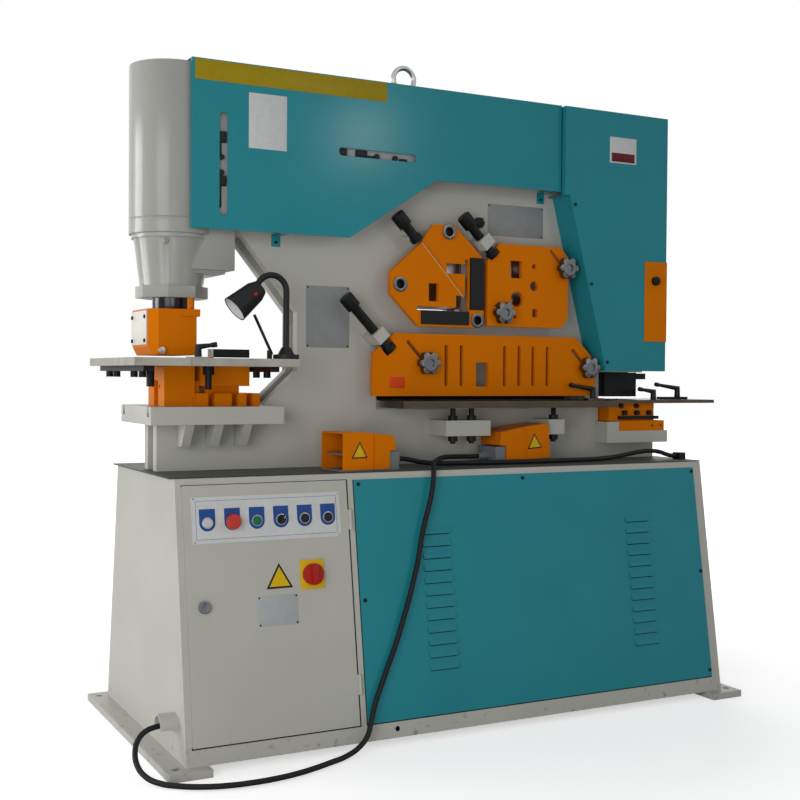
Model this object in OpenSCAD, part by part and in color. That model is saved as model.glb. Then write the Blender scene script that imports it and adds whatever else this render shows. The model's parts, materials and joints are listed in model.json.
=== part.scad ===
// Hydraulic ironworker of the 25 mm class, in millimetres, floor at z = 0.
// X runs along the machine from the punch end to the notching end, front is -Y, +Z is up.

/* [Base] */
// Length of the base cabinet
base_len = 1940; // [1880:10:2040]
// Height of the base top above the floor
base_h = 816; // [780:2:850]
// Depth of the base at the top
base_d_top = 626; // [600:2:660]
// Depth of the base at the bottom
base_d_bot = 876; // [850:2:900]
// Sheet thickness of the base
wall_t = 5; // [4:0.5:7]
// Thickness of the base top plate
top_t = 20; // [14:1:26]
// Thickness of the base floor plate
floor_t = 6; // [4:0.5:10]
// Thickness of the two floor rails
rail_t = 22; // [16:1:28]
// Width of the floor rails
rail_w = 125; // [115:1:140]
// Reach of the rails past the base ends
rail_out = 60; // [52:1:70]
// Length of the floor rails
rail_len = 950; // [940:5:990]
// Foundation bolt hole
bolt_hole_d = 22; // [16:1:26]
// Distance of the foundation bolts from the rail ends
bolt_edge = 45; // [38:1:60]
// Drip tray sheet
tray_t = 3; // [2:0.5:5]
// Reach of the drip tray past the base ends
tray_out = 15; // [8:1:20]

/* [Door and panel] */
// Width of the electrical door
door_w = 516; // [480:2:530]
// Sheet thickness of the door
door_t = 2.5; // [2:0.5:4]
// Depth of the folded edge of the door
door_fold = 14; // [10:1:20]
// Gap behind the closed door
door_gap = 0.4; // [0.3:0.1:1]
// Edge of door and panel over their openings
lap = 15; // [12:1:20]
// Free strip above door and panel
strip_top = 20; // [14:1:30]
// Free strip below door and panel
strip_bottom = 50; // [40:1:60]
// Sheet thickness of the louvred panel
panel_t = 2.2; // [1.5:0.1:3]
// Louvres in one column
louvre_count = 12; // [8:1:13]
// Length of a louvre
louvre_w = 100; // [80:1:120]
// Pitch of the louvres
louvre_pitch = 38; // [34:1:42]
// Stand-off of a louvre
louvre_out = 7; // [5:0.5:10]

/* [Frame] */
// Thickness of each side plate
plate_t = 36; // [30:1:42]
// Gap between the side plates
frame_gap = 56; // [50:1:64]
// Punch axis to the back of the throat
throat_depth = 395; // [370:5:420]
// Top of the die bed above the tray
bed_rise = 199; // [180:1:220]
// Thickness of the die bed
bed_t = 54; // [46:1:62]
// Length of the die bed
bed_len = 422; // [400:2:440]
// Depth of the die bed
bed_d = 334; // [310:2:360]
// Neck width of the T-slots
slot_neck = 12; // [10:1:16]
// Distance between the T-slots
slot_pitch = 270; // [250:2:280]
// Free play of a sliding or turning fit
run_fit = 0.05; // [0.02:0.01:0.1]
// Clearance between parts that pass each other
clear = 0.4; // [0.3:0.1:1]

/* [Punch station] */
// Outer diameter of the punch cylinder
cyl_d = 262; // [240:2:280]
// Length of the punch cylinder
cyl_len = 514; // [480:2:540]
// Bore of the punch cylinder
cyl_bore = 200; // [180:2:210]
// Diameter of the ram
ram_d = 118; // [104:2:126]
// Ram showing below the guide
ram_show = 36; // [28:1:48]
// Height of the guide rim
rim_h = 36; // [28:1:44]
// Width over flats of the guide rim
rim_w = 206; // [190:2:220]
// Height of the tapered casting
cone_h = 158; // [140:2:180]
// Punch diameter
punch_d = 30; // [16:1:38]
// Working stroke of the ram
punch_stroke = 60; // [40:5:64]
// Height of the stripper box
strip_h = 140; // [126:2:150]
// Width of the stripper box along the machine
strip_w = 144; // [140:2:160]
// Depth of the stripper box
strip_d = 222; // [200:2:240]
// Stripper above the punch table
strip_gap = 9; // [6:1:14]
// Thickness of the punch table
table_t = 24; // [18:1:30]
// Length of the punch table along the machine
table_len = 509; // [480:2:530]
// Depth of the punch table
table_d = 536; // [500:2:560]
// Height of the die holder
holder_h = 122; // [112:1:134]
// Outer diameter of the die
die_d = 76; // [64:1:84]
// Play between punch and die
die_play = 1.5; // [0.5:0.1:3]

/* [Shear stations] */
// Shear table top above the tray
shear_rise = 214; // [206:1:224]
// Thickness of the shear table
shear_t = 23; // [18:1:28]
// Reach of the shear table in front of the frame
shear_out = 168; // [150:2:190]
// Front of the guards before the frame
guard_out = 66; // [58:1:74]
// Thickness of the guards
guard_t = 18; // [12:1:22]
// Length of the plate shear guard
plate_guard_len = 888; // [860:2:900]
// Height of the plate shear guard
plate_guard_h = 207; // [196:1:212]
// Width of the section shear guard
section_w = 333; // [326:1:338]
// Height of the section shear guard
section_h = 284; // [276:1:296]
// Guard slot width
guard_slot = 13; // [10:0.5:16]
// Diameter of a star knob
knob_d = 82; // [70:1:90]
// Diameter of the hold-down screws
screw_d = 32; // [26:1:36]
// Diameter of the beam pivot pin
pivot_d = 90; // [76:2:100]
// Free play beside the swing beam
beam_side = 3; // [2:0.5:5]

/* [Notching station] */
// Length of the notching table
notch_len = 490; // [460:2:510]
// Depth of the notching table
notch_d = 300; // [280:2:320]
// Thickness of the notching table
notch_t = 12; // [8:1:16]
// Length of the notching punch
notch_punch_len = 146; // [130:2:150]
// Width of the notching punch
notch_punch_w = 116; // [100:2:120]

/* [Covers] */
// Front of the top cover before the frame
cover_out = 86; // [80:1:96]
// Front of the right cover before the frame
rcover_out = 108; // [100:1:118]
// Cover sheet
sheet_t = 2; // [1.5:0.5:3]

/* [Controls] */
// Diameter of the push buttons
button_d = 26; // [22:1:28]
// Diameter of the emergency stop head
stop_d = 48; // [40:1:50]
// Travel of the push buttons
button_travel = 4; // [3:0.5:5]
// Diameter of the main switch knob
switch_d = 64; // [56:1:68]

/* [Hidden] */
bolt_pitch_y = rail_len - 2 * bolt_edge;
$fn = 32;
cream = "#d9d3c3";
teal = "#24787f";
orange = "#c86e0a";
steel = "#9a9c9c";
black = "#1d1f20";
grey = "#6f767c";

base_x = base_len / 2;
tilt = atan((base_d_bot - base_d_top) / 2 / (base_h - rail_t));
ct = cos(tilt);
foot_z = base_h + tray_t;
bolt_pitch_x = 2 * (base_x + rail_out / 2);
slope_len = (base_h - rail_t) / ct;
front_s0 = strip_bottom / ct;
front_s1 = slope_len - strip_top;
door_x0 = -base_x + 20;
door_x1 = door_x0 + door_w;
hinge_x = door_x1 + 7;
part_x = door_x1 + 13;
panel_x0 = door_x1 + 26;
panel_x1 = base_x - 36;
door_face = -(door_gap + door_t);
plate_face = door_face - 1.5;
shield_face = plate_face - 1;
bezel_face = shield_face - 3;
device_x = [for (i = [0 : 5]) door_x0 + 70 + i * 75.6];
device_s = slope_len - 129;
switch_x = door_x0 + 388;
switch_s = slope_len - 296;
lock_x = door_x0 + 51;
lock_s = slope_len - 367;
hood_y = -330;
hood_z = rail_t + 98;
cord_r = 8;

y_f = frame_gap / 2 + plate_t;
frame_x0 = -base_x + 20;
frame_x1 = base_x - 10;
punch_x = frame_x0 + 65;
throat_x = punch_x + throat_depth;
bed_z = foot_z + bed_rise;
bed_x0 = punch_x - 112;
bed_x1 = bed_x0 + bed_len;
table_z0 = bed_z + holder_h;
table_z = table_z0 + table_t;
table_x0 = punch_x - 189;
table_x1 = table_x0 + table_len;
strip_z = table_z + strip_gap;
strip_x1 = punch_x + 45;
strip_x0 = strip_x1 - strip_w;
ram_clear = 8;
strip_z1 = strip_z + strip_h;
rim_z = strip_z1 + ram_show;
cone_z = rim_z + rim_h;
lip_z = cone_z + cone_h;
cyl_top = lip_z + cyl_len;
seam_z = lip_z + 45;
arm_z = lip_z + 5;
arm_x0 = punch_x + 170;
cover_top = cyl_top + 8;
cover_z0 = arm_z + 8;
cover_y = y_f + cover_out;
rcover_y = y_f + rcover_out;
cover_x0 = punch_x + 15;
cover_x1 = 470;

jaw_z = foot_z + 102;
jaw_x = frame_x1 - 255;
upper_z = jaw_z + 214;
arm_x1 = frame_x1 - 55;
frame_top = cover_top - 75;
pivot_x = throat_x + 160;
pivot_z = foot_z + 321;
pivot_in = 20;
beam_y = frame_gap / 2 - beam_side;
beam_x1 = arm_x1 - 50;
beam_top = arm_z + 232;
seat_z = beam_top + 20;
beam_low = foot_z + 291;
jack_x = arm_x1 - 105;

shear_z = foot_z + shear_rise;
guard_y1 = y_f + guard_out;
guard_y0 = guard_y1 - guard_t;
pg_x0 = -251;
pg_x1 = pg_x0 + plate_guard_len;
pg_z0 = shear_z + 16;
pg_z1 = pg_z0 + plate_guard_h;
sg_x0 = 184;
sg_x1 = sg_x0 + section_w;
sg_z0 = pg_z1 + 32;
sg_z1 = sg_z0 + section_h;
ag_z0 = pg_z1 + 25;
screw_y = -(guard_y1 - guard_t / 2);
nut_y = guard_y1 + 20;
pin_angle = 46;
stud_d = guard_slot - 1;
foot_len = 18;

notch_z = shear_z + 1;
notch_x0 = jaw_x - 13;
notch_x1 = notch_x0 + notch_len;
punch_n0 = jaw_x + 32;
punch_n1 = punch_n0 + notch_punch_len;

// Profile in the Y-Z plane, run along X
module along_x(x0, x1) {
  translate([x0, 0, 0]) rotate([90, 0, 90]) linear_extrude(x1 - x0) children();
}

// Profile in the X-Z plane, run along Y
module along_y(y0, y1) {
  translate([0, y1, 0]) rotate([90, 0, 0]) linear_extrude(y1 - y0) children();
}

module box(x0, x1, y0, y1, z0, z1) {
  translate([x0, y0, z0]) cube([x1 - x0, y1 - y0, z1 - z0]);
}

module rod_x(x0, x1, y, z, r) {
  translate([x0, y, z]) rotate([0, 90, 0]) cylinder(r = r, h = x1 - x0);
}

module rod_y(x, y0, y1, z, r) {
  translate([x, y1, z]) rotate([90, 0, 0]) cylinder(r = r, h = y1 - y0);
}

module rod_z(x, y, z0, z1, r) {
  translate([x, y, z0]) cylinder(r = r, h = z1 - z0);
}

// Sloping front of the base: x along the machine, y inward, z up the slope
module on_front() {
  translate([0, -base_d_bot / 2, rail_t]) rotate([-tilt, 0, 0]) children();
}

function half_depth(z, inset) = base_d_bot / 2 - (z - rail_t) * tan(tilt) - inset / ct;

module base_section(inset, z0, z1) {
  a = half_depth(z0, inset);
  b = half_depth(z1, inset);
  polygon([[-a, z0], [a, z0], [b, z1], [-b, z1]]);
}

module floor_rail(side) {
  x_in = base_x + rail_out - rail_w;
  difference() {
    box(side > 0 ? x_in : -x_in - rail_w, side > 0 ? x_in + rail_w : -x_in, -rail_len / 2, rail_len / 2, 0, rail_t);
    for (y = [-1, 1])
      rod_z(side * bolt_pitch_x / 2, y * bolt_pitch_y / 2, -1, rail_t + 1, bolt_hole_d / 2);
  }
}

// Welded cabinet with its floor rails and the cable hood on the left end
module base_cabinet() color(cream) {
  hood_len = 52;
  difference() {
    union() {
      along_x(-base_x, base_x) base_section(0, rail_t, base_h);
      for (side = [-1, 1]) floor_rail(side);
      difference() {
        rod_x(-base_x - hood_len, -base_x + 1, hood_y, hood_z, 34);
        rod_x(-base_x - hood_len - 1, -base_x, hood_y, hood_z, 29);
        box(-base_x - hood_len - 1, -base_x, hood_y - 40, hood_y + 40, hood_z - 50, hood_z - 8);
      }
    }
    along_x(-base_x + wall_t, part_x - wall_t / 2)
      base_section(wall_t, rail_t + floor_t, base_h - top_t);
    along_x(part_x + wall_t / 2, base_x - wall_t)
      base_section(wall_t, rail_t + floor_t, base_h - top_t);
    on_front() {
      box(door_x0 + lap, door_x1 - lap, -1, wall_t + 1, front_s0 + lap, front_s1 - lap - 8);
      box(panel_x0 + lap, panel_x1 - lap, -1, wall_t + 1, front_s0 + lap, front_s1 - lap - 8);
      rod_y(panel_x0 + 100, -1, wall_t + 1, 26, 8);
    }
    rod_x(-base_x - 1, -base_x + wall_t + 1, hood_y, hood_z, cord_r + 4);
  }
}

module drip_tray() color("#4c5550") {
  box(-base_x - tray_out, base_x + tray_out, -base_d_top / 2 + 12, base_d_top / 2 + 6, base_h, foot_z);
}

// One pressed louvre, mouth down
module louvre() {
  h = 24;
  difference() {
    along_x(-louvre_w / 2, louvre_w / 2) polygon([[0, 0], [0, h], [-louvre_out, 4], [-louvre_out, 0]]);
    along_x(-louvre_w / 2 + 2, louvre_w / 2 - 2)
      polygon([[1, -1], [1, h - 4], [-louvre_out + 1.5, 3.2], [-louvre_out + 1.5, -1]]);
  }
}

// Louvred sheet screwed to the front of the base
module front_panel() color(teal) {
  columns = [panel_x0 + 275, panel_x1 - 272];
  s_low = front_s0 + 136;
  on_front() {
    difference() {
      box(panel_x0, panel_x1, -panel_t, 0, front_s0, front_s1);
      for (x = columns, i = [0 : louvre_count - 1])
        box(x - louvre_w / 2 + 2, x + louvre_w / 2 - 2, -panel_t - 1, 1, s_low + i * louvre_pitch, s_low + i * louvre_pitch + 14);
    }
    for (x = columns, i = [0 : louvre_count - 1])
      translate([x, -panel_t, s_low + i * louvre_pitch]) louvre();
  }
}

// Screw heads of the panel, covers and notch guard, and one hex bolt of the frame
module fasteners() color(black) {
  xs = [panel_x0 + 15, panel_x1 - 8];
  on_front() {
    for (x = xs, s = [front_s0 + 22, (front_s0 + front_s1) / 2, front_s1 - 14])
      rod_y(x, -panel_t - 3, -panel_t, s, 6);
    rod_y((panel_x0 + panel_x1) / 2 - 56, -panel_t - 3, -panel_t, front_s1 - 14, 6);
  }
  for (t = [0.05, 0.5, 0.95])
    rod_y(rc_edge(rc_kink - t * (rc_kink - rc_z0)) + 14, -rcover_y - 3, -rcover_y, rc_kink - t * (rc_kink - rc_z0), 6);
  for (p = [[tab_a, cover_z0], [tab_b, cover_kink]])
    rod_y(p[0], -y_f - sheet_t - 3, -y_f - sheet_t, p[1] - 20, 5);
  translate([184, -y_f, arm_z + 98]) rotate([90, 0, 0]) cylinder(r = 20, h = 14, $fn = 6);
  rod_y(ng_x0 + 46, -rcover_y - sheet_t - 12, -rcover_y - sheet_t, ng_z1 - 70, 16);
}

// Outline of the side plates with the punch throat and the notch throat
module frame_outline() {
  polygon([[frame_x0, foot_z], [frame_x1, foot_z], [frame_x1, jaw_z], [jaw_x, jaw_z], [jaw_x, upper_z],
    [arm_x1, upper_z], [arm_x1, seat_z], [arm_x1 - 330, seat_z], [arm_x1 - 380, frame_top],
    [arm_x0, frame_top], [arm_x0, arm_z], [throat_x - 186, arm_z], [throat_x, arm_z - 230],
    [throat_x, bed_z + 112], [throat_x - 119, bed_z], [throat_x - 119, bed_z - bed_t],
    [frame_x0, bed_z - bed_t]]);
}

module frame_plate(y0, y1) {
  along_y(y0, y1) frame_outline();
}

module t_slot(y) {
  box(bed_x0 - 1, bed_x1 + 1, y - slot_neck / 2, y + slot_neck / 2, bed_z - 18, bed_z + 1);
  box(bed_x0 - 1, bed_x1 + 1, y - slot_neck, y + slot_neck, bed_z - 30, bed_z - 17);
}

module nut_block(x, z) {
  translate([x, 0, z]) rotate([0, pin_angle, 0]) box(-20, 20, -nut_y, -y_f, -24, 24);
}

module screw_bore(p) {
  translate([p[0], screw_y, p[1]]) rotate([0, 90 + pin_angle - 90, 0]) rotate([0, 90, 0])
    cylinder(r = screw_d / 2 + clear, h = 200, center = true);
}

// Welded frame: side plates, spacers, die bed with gussets, table brackets, nut blocks
module main_frame() color(cream) {
  gusset_z = foot_z + 76;
  difference() {
    union() {
      frame_plate(-y_f, -frame_gap / 2);
      frame_plate(frame_gap / 2, y_f);
      box(frame_x0 + 90, throat_x - 130, -frame_gap / 2, frame_gap / 2, foot_z, foot_z + 90);
      box(arm_x0 + 20, throat_x + 60, -frame_gap / 2, frame_gap / 2, frame_top - 190, frame_top - 20);
      box(throat_x + 20, throat_x + 80, -frame_gap / 2, frame_gap / 2, bed_z, arm_z - 260);
      box(jaw_x - 60, frame_x1 - 30, -frame_gap / 2, frame_gap / 2, foot_z, jaw_z - 8);
      difference() {
        box(bed_x0, bed_x1, -bed_d / 2, bed_d / 2, bed_z - bed_t, bed_z);
        for (y = [-1, 1]) t_slot(y * slot_pitch / 2);
      }
      for (i = [0 : 2], side = [0, 1]) mirror([0, side, 0])
        along_x(frame_x0 + 62 + i * 92, frame_x0 + 90 + i * 92)
          polygon([[-y_f, bed_z - bed_t], [-bed_d / 2 + 8, bed_z - bed_t], [-y_f - 48, gusset_z], [-y_f, gusset_z]]);
      for (x = [-4, 408])
        box(x, x + (x < 0 ? 174 : 66), -y_f - 116, -y_f, shear_z - shear_t - 94, shear_z - shear_t - 42);
      box(jaw_x - 12, frame_x1 + 10, -y_f - 71, -y_f, jaw_z - 43, jaw_z);
      box(jaw_x - 12, jaw_x + 42, -y_f - 71, -y_f, jaw_z - 1, jaw_z + 34);
      box(eye_x - 60, eye_x + 60, -frame_gap / 2, frame_gap / 2, frame_top - 60, frame_top);
      nut_block(nut_b[0], nut_b[1]);
      nut_block(nut_c[0], nut_c[1]);
      rod_y(lug_a[0], screw_y + screw_d / 2 + clear, -y_f, lug_a[1], 12);
    }
    // windows for the angle and bar tools, and the plate shear slots
    box(-90, 118, -y_f - 1, y_f + 1, ag_z0 + 50, ag_z0 + 232);
    box(sg_x0 + 70, sg_x0 + 212, -y_f - 1, y_f + 1, sg_z0 + 62, sg_z0 + 240);
    box(-205, 645, -y_f - 1, -frame_gap / 2 + 1, shear_z - 30, shear_z + 30);
    box(-205, 645, frame_gap / 2 - 1, y_f + 1, shear_z, shear_z + 30);
    rod_y(pivot_x, -frame_gap / 2 - pivot_in - 1, frame_gap / 2 + pivot_in + 1, pivot_z, pivot_d / 2 + run_fit);
    rod_z(punch_x, 0, bed_z - bed_t - 1, bed_z + 1, 23);
    screw_bore(nut_b);
    screw_bore(nut_c);
    // bolt holes of the shear table brackets
    for (p = table_bolts) rod_z(p[0], p[1], shear_z - shear_t - 100, shear_z - shear_t - 30, 10);
    rod_z(eye_x, 0, frame_top - 40, frame_top + 1, 12.3);
  }
}

// Hydraulic cylinder of the punch, closed at the top
module punch_cylinder() color(cream) {
  translate([punch_x, 0, 0]) difference() {
    rod_z(0, 0, lip_z, cyl_top, cyl_d / 2, $fn = 64);
    rod_z(0, 0, seam_z + 4, cyl_top - 30, cyl_bore / 2);
    rod_z(0, 0, lip_z - 1, seam_z + 5, ram_d / 2 + 1);
    difference() {
      rod_z(0, 0, seam_z, seam_z + 2, cyl_d / 2 + 1);
      rod_z(0, 0, seam_z - 1, seam_z + 3, cyl_d / 2 - 1.5);
    }
  }
}

// Tapered guide casting with its octagonal rim and the block that hangs it on the frame arms
module cylinder_casting() color(cream) {
  r_top = cyl_d / 2 - 8;
  r_low = rim_w / 2 - 6;
  block_y = 100;
  difference() {
    union() {
      translate([punch_x, 0, lip_z - 13]) cylinder(r = r_top, h = 13, $fn = 64);
      translate([punch_x, 0, cone_z]) cylinder(r1 = r_low, r2 = r_top - 7, h = cone_h - 13, $fn = 64);
      translate([punch_x, 0, rim_z]) rotate([0, 0, 22.5]) cylinder(d = rim_w / cos(22.5), h = rim_h, $fn = 8);
      box(punch_x + 33, arm_x0, -block_y, block_y, lip_z - 106, lip_z);
      box(punch_x + 33, arm_x0 - 28, -block_y + 8, block_y - 8, lip_z - 118, lip_z - 105);
      difference() {
        box(punch_x + 60, arm_x0, -block_y, block_y, lip_z - 1, lip_z + 150);
        rod_z(punch_x, 0, lip_z - 2, lip_z + 151, cyl_d / 2 + clear);
      }
      for (a = [200 : 40 : 280]) rotate_boss(a);
    }
    rod_z(punch_x, 0, rim_z - 1, lip_z + 1, ram_d / 2 + run_fit);
  }
}

module rotate_boss(a) {
  translate([punch_x, 0, lip_z - 40]) rotate([0, 0, a]) rod_z(cyl_d / 2 - 34, 0, 0, 30, 15);
}

// Stripper box around the punch, with the lip that hangs on two posts and its side cover
module stripper() color(orange) {
  c = 26;
  y = strip_d / 2;
  difference() {
    union() {
      intersection() {
        translate([0, 0, strip_z]) linear_extrude(strip_h)
          polygon([[strip_x0, -y + c], [strip_x0 + c, -y], [strip_x1, -y], [strip_x1, y], [strip_x0 + c, y], [strip_x0, y - c]]);
        along_y(-y - 1, y + 1)
          polygon([[strip_x0 + 18, strip_z], [strip_x1 - 4, strip_z], [strip_x1, strip_z + 26], [strip_x1, strip_z1],
            [strip_x0, strip_z1], [strip_x0, strip_z + 26]]);
        along_x(strip_x0 - 1, strip_x1 + 1)
          polygon([[-y + 4, strip_z], [y - 4, strip_z], [y, strip_z + 26], [y, strip_z1], [-y, strip_z1], [-y, strip_z + 26]]);
      }
      box(punch_x - 8, strip_x1 + 9, -y - 7, y + 7, strip_z1 - 22, strip_z1);
      for (s = [-1, 1]) rod_z(punch_x + 34, s * 86, strip_z1 - 1, rim_z, 11);
      box(strip_x0 - 4, strip_x0 + 1, -y + c + 4, y - c - 4, strip_z + 32, strip_z1 - 6);
      for (s = [-1, 1], z = [strip_z + 44, strip_z1 - 24])
        rod_x(strip_x0 - 8, strip_x0 - 3, s * (y - c - 16), z, 5);
      rod_y(strip_x0 + 34, -y - 8, -y + 10, strip_z + 14, 13);
    }
    rod_z(punch_x, 0, strip_z + 30, strip_z1 + 1, ram_d / 2 + ram_clear);
    rod_z(punch_x, 0, strip_z - 1, strip_z + 31, punch_d / 2 + 13);
  }
}

// Work table around the die, in two plates
module punch_table() color(steel) {
  seam = punch_x - 20;
  difference() {
    union() {
      box(table_x0, seam - 0.6, -table_d / 2, table_d / 2, table_z0, table_z);
      box(seam + 0.6, table_x1, -table_d / 2, table_d / 2, table_z0, table_z);
      box(seam - 6, seam + 6, -table_d / 2 + 30, table_d / 2 - 30, table_z0, table_z - 6);
    }
    rod_z(punch_x, 0, table_z0 - 1, table_z + 1, die_d / 2 + 8);
    box(table_x1 - 190, table_x1 - 176, -table_d / 2 + 40, table_d / 2 - 40, table_z - 9, table_z + 1);
  }
}

function table_post(i) = [punch_x + 70, (i == 0 ? -1 : 1) * (strip_d / 2 + 39)];

// Blackened bars, bolts and rods of the three work tables
module table_hardware() color(black) {
  for (x = [table_x0 + 30, table_x1 - 92]) {
    box(x, x + 30, -table_d / 2 + 14, table_d / 2 - 14, table_z0 - 16, table_z0);
    for (y = [-190, -100, 100, 190]) rod_z(x + 15, y, table_z0 - 34, table_z0 - 16, 11);
  }
  for (i = [0, 1]) {
    rod_z(table_post(i)[0], table_post(i)[1], table_z0 - 70, table_z0, 10);
    rod_z(table_post(i)[0], table_post(i)[1], table_z0 - 26, table_z0, 17);
  }
  rod_z(punch_x - 90, -84, table_z0 - 62, table_z0, 12);
  // upright peg with its leaning gauge rod
  rod_z(table_x1 - 82, -table_d / 2 + 45, table_z, table_z + 26, 8);
  translate([table_x1 - 74, -table_d / 2 + 45, table_z + 14]) rotate([0, -26, 0]) cylinder(r = 4.5, h = 132);
  for (p = table_bolts) {
    rod_z(p[0], p[1], shear_z - shear_t - 120, shear_z - shear_t, 9);
    rod_z(p[0], p[1], shear_z - shear_t - 42, shear_z - shear_t - 26, 16);
    rod_z(p[0], p[1], shear_z - shear_t - 112, shear_z - shear_t - 94, 16);
  }
  // clamp strip of the notching die
  box(jaw_x + 48, jaw_x + 228, -nh_y - 12, -nh_y, nh_z0 + 42, nh_z0 + 54);
  for (x = [74, 130, 186]) rod_y(jaw_x + x, -nh_y - 14, -nh_y, nh_z0 + 66, 9);
  for (x = [60, 130]) rod_y(jaw_x + x, -nh_y - 8, -nh_y, nh_z1 - 10, 9);
  box(notch_x1 - 200, notch_x1 - 84, -notch_d / 2 + 52, -notch_d / 2 + 92, notch_z, notch_z + 10);
  // inlet where the rear cord ends
  box(950, 980, -226, -190, foot_z, foot_z + 24);
}

// Die holder with clamping feet, bolted on the bed
module die_holder() color(orange) {
  x0 = punch_x - 48;
  x1 = punch_x + 48;
  f1 = punch_x + 256;
  difference() {
    union() {
      box(x0, x1, -85, 85, bed_z, table_z0);
      box(x1 - 1, f1, -96, 96, bed_z, bed_z + 40);
      box(x1 - 1, punch_x + 66, -70, 70, bed_z + 39, bed_z + 78);
      box(punch_x + 65, punch_x + 223, -92, 92, bed_z + 62, table_z0);
      box(punch_x + 90, punch_x + 200, -60, 60, bed_z + 39, bed_z + 63);
    }
    box(x0 - 1, x0 + 22, -22, 22, bed_z - 1, bed_z + 78);
    rod_z(punch_x, 0, table_z0 - 30, table_z0 + 1, die_d / 2 + run_fit);
    rod_z(punch_x, 0, bed_z - 1, table_z0, punch_d / 2 + die_play + 3);
    for (x = [98, 174, 222], s = [-1, 1])
      box(punch_x + x - 10, punch_x + x + 10, s * 80 - 18, s * 80 + 18, bed_z - 1, bed_z + 41);
    for (s = [-1, 1]) rod_x(x0 - 1, x0 + 12, s * 38, bed_z + 60, 6);
  }
}

// Passages of the angle and bar blades
module angle_opening(y0, y1) {
  box(-84, 112, y0, y1, ag_z0 + 54, ag_z0 + 66);
  box(98, 112, y0, y1, ag_z0 + 54, ag_z0 + 224);
}

module bar_openings(y0, y1) {
  rod_y(sg_x0 + 120, y0, y1, sg_z0 + 96, 25);
  rod_y(sg_x0 + 190, y0, y1, sg_z0 + 144, 15);
  rod_y(sg_x0 + 190, y0, y1, sg_z0 + 212, 8);
  box(sg_x0 + 93, sg_x0 + 139, y0, y1, sg_z0 + 169, sg_z0 + 227);
}

// Die, and the fixed blades of the three shears
module lower_tools() color(steel) {
  difference() {
    rod_z(punch_x, 0, table_z0 - 30, table_z - 4, die_d / 2);
    rod_z(punch_x, 0, table_z0 - 31, table_z, punch_d / 2 + die_play);
  }
  box(-203, 643, -y_f + 1, -frame_gap / 2 - 0.5, shear_z - 30, shear_z);
  // fixed angle and bar blades in the windows of the front plate
  difference() {
    box(-90, 118, -y_f + 2, -frame_gap / 2 - 0.5, ag_z0 + 50, ag_z0 + 232);
    angle_opening(-y_f, -frame_gap / 2);
  }
  difference() {
    box(sg_x0 + 70, sg_x0 + 212, -y_f + 2, -frame_gap / 2 - 0.5, sg_z0 + 62, sg_z0 + 240);
    bar_openings(-y_f, -frame_gap / 2);
  }
}

// Lamp on its magnetic foot, with a bent flexible neck
lamp_x = table_x1 - 29;
lamp_y = -table_d / 2 + 43;
lamp_arc = 48;
lamp_z = table_z + 206;

module at_lamp_head() {
  translate([lamp_x - 2 * lamp_arc, lamp_y, lamp_z]) rotate([0, 180 + 50, 0]) children();
}

module work_lamp() color(black) {
  rod_z(lamp_x, lamp_y, table_z, table_z + 14, 40);
  translate([lamp_x, lamp_y, table_z + 14]) cylinder(r1 = 26, r2 = 14, h = 22);
  rod_z(lamp_x, lamp_y, table_z + 30, lamp_z, 9.5);
  translate([lamp_x - lamp_arc, lamp_y, lamp_z]) rotate([90, 0, 0])
    rotate_extrude(angle = 180) translate([lamp_arc, 0]) circle(r = 9.5);
  difference() {
    at_lamp_head() {
      translate([0, 0, -14]) cylinder(r1 = 24, r2 = 33, h = 22);
      translate([0, 0, 8]) cylinder(r1 = 33, r2 = 42, h = 84);
    }
    at_lamp_head() translate([0, 0, 34]) cylinder(r1 = 24, r2 = 40, h = 60);
    at_lamp_head() rod_y(0, -50, -21, 22, 6 + clear);
  }
}

module lamp_switch() color("#b3201c") {
  at_lamp_head() rod_y(0, -39, -24, 22, 6);
}

// Front of the top cover, stepped up past the guards
cover_kink = cover_z0 + 208;
tab_a = -566;
tab_b = 440;
eye_x = -78;

module cover_outline() {
  polygon([[cover_x0, cover_z0], [-346, cover_z0], [-29, cover_kink], [cover_x1, cover_kink],
    [cover_x1, cover_top], [cover_x0, cover_top]]);
}

module round_slot(x, z, len, w, turn) {
  translate([x, 0, z]) rotate([0, turn, 0]) {
    box(-len / 2 + w / 2, len / 2 - w / 2, -1, sheet_t + 1, -w / 2, w / 2);
    for (s = [-1, 1]) rod_y(s * (len / 2 - w / 2), -1, sheet_t + 1, 0, w / 2);
  }
}

module cover_tab(x, z) {
  box(x - 15, x + 15, -cover_y + 1, -y_f, z, z + sheet_t);
  box(x - 15, x + 15, -y_f - sheet_t, -y_f, z - 34, z + 1);
}

// Folded sheet hood over the frame arms
module top_cover() color(teal) {
  difference() {
    union() {
      for (side = [0, 1]) mirror([0, side, 0]) along_y(-cover_y, -cover_y + sheet_t) cover_outline();
      box(cover_x0, cover_x1, -cover_y, cover_y, cover_top - sheet_t, cover_top);
      for (side = [0, 1]) mirror([0, side, 0]) {
        box(cover_x0, cover_x0 + sheet_t, -cover_y, -cyl_d / 2 - 4, cover_z0, cover_top);
        cover_tab(tab_a, cover_z0);
        cover_tab(tab_b, cover_kink);
      }
    }
    translate([0, -cover_y, 0]) {
      round_slot(punch_x + 115, cover_z0 + 198, 312, 26, 90);
      round_slot(-247, cover_z0 + 272, 278, 26, 0);
    }
    rod_z(eye_x, 0, cover_top - sheet_t - 1, cover_top + 1, 14);
    for (side = [0, 1]) mirror([0, side, 0]) {
      rod_y(tab_a, -y_f - sheet_t - 1, -y_f + 1, cover_z0 - 20, 3);
      rod_y(tab_b, -y_f - sheet_t - 1, -y_f + 1, cover_kink - 20, 3);
    }
  }
}

// Right cover with its slanting inner edge
rc_x0 = cover_x1 + 2;
rc_x1 = frame_x1 - 35;
rc_z0 = upper_z + 4;
rc_kink = cover_kink - 12;
function rc_edge(z) = rc_x0 + 21 + (rc_kink - z) * 164 / 618;

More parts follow.
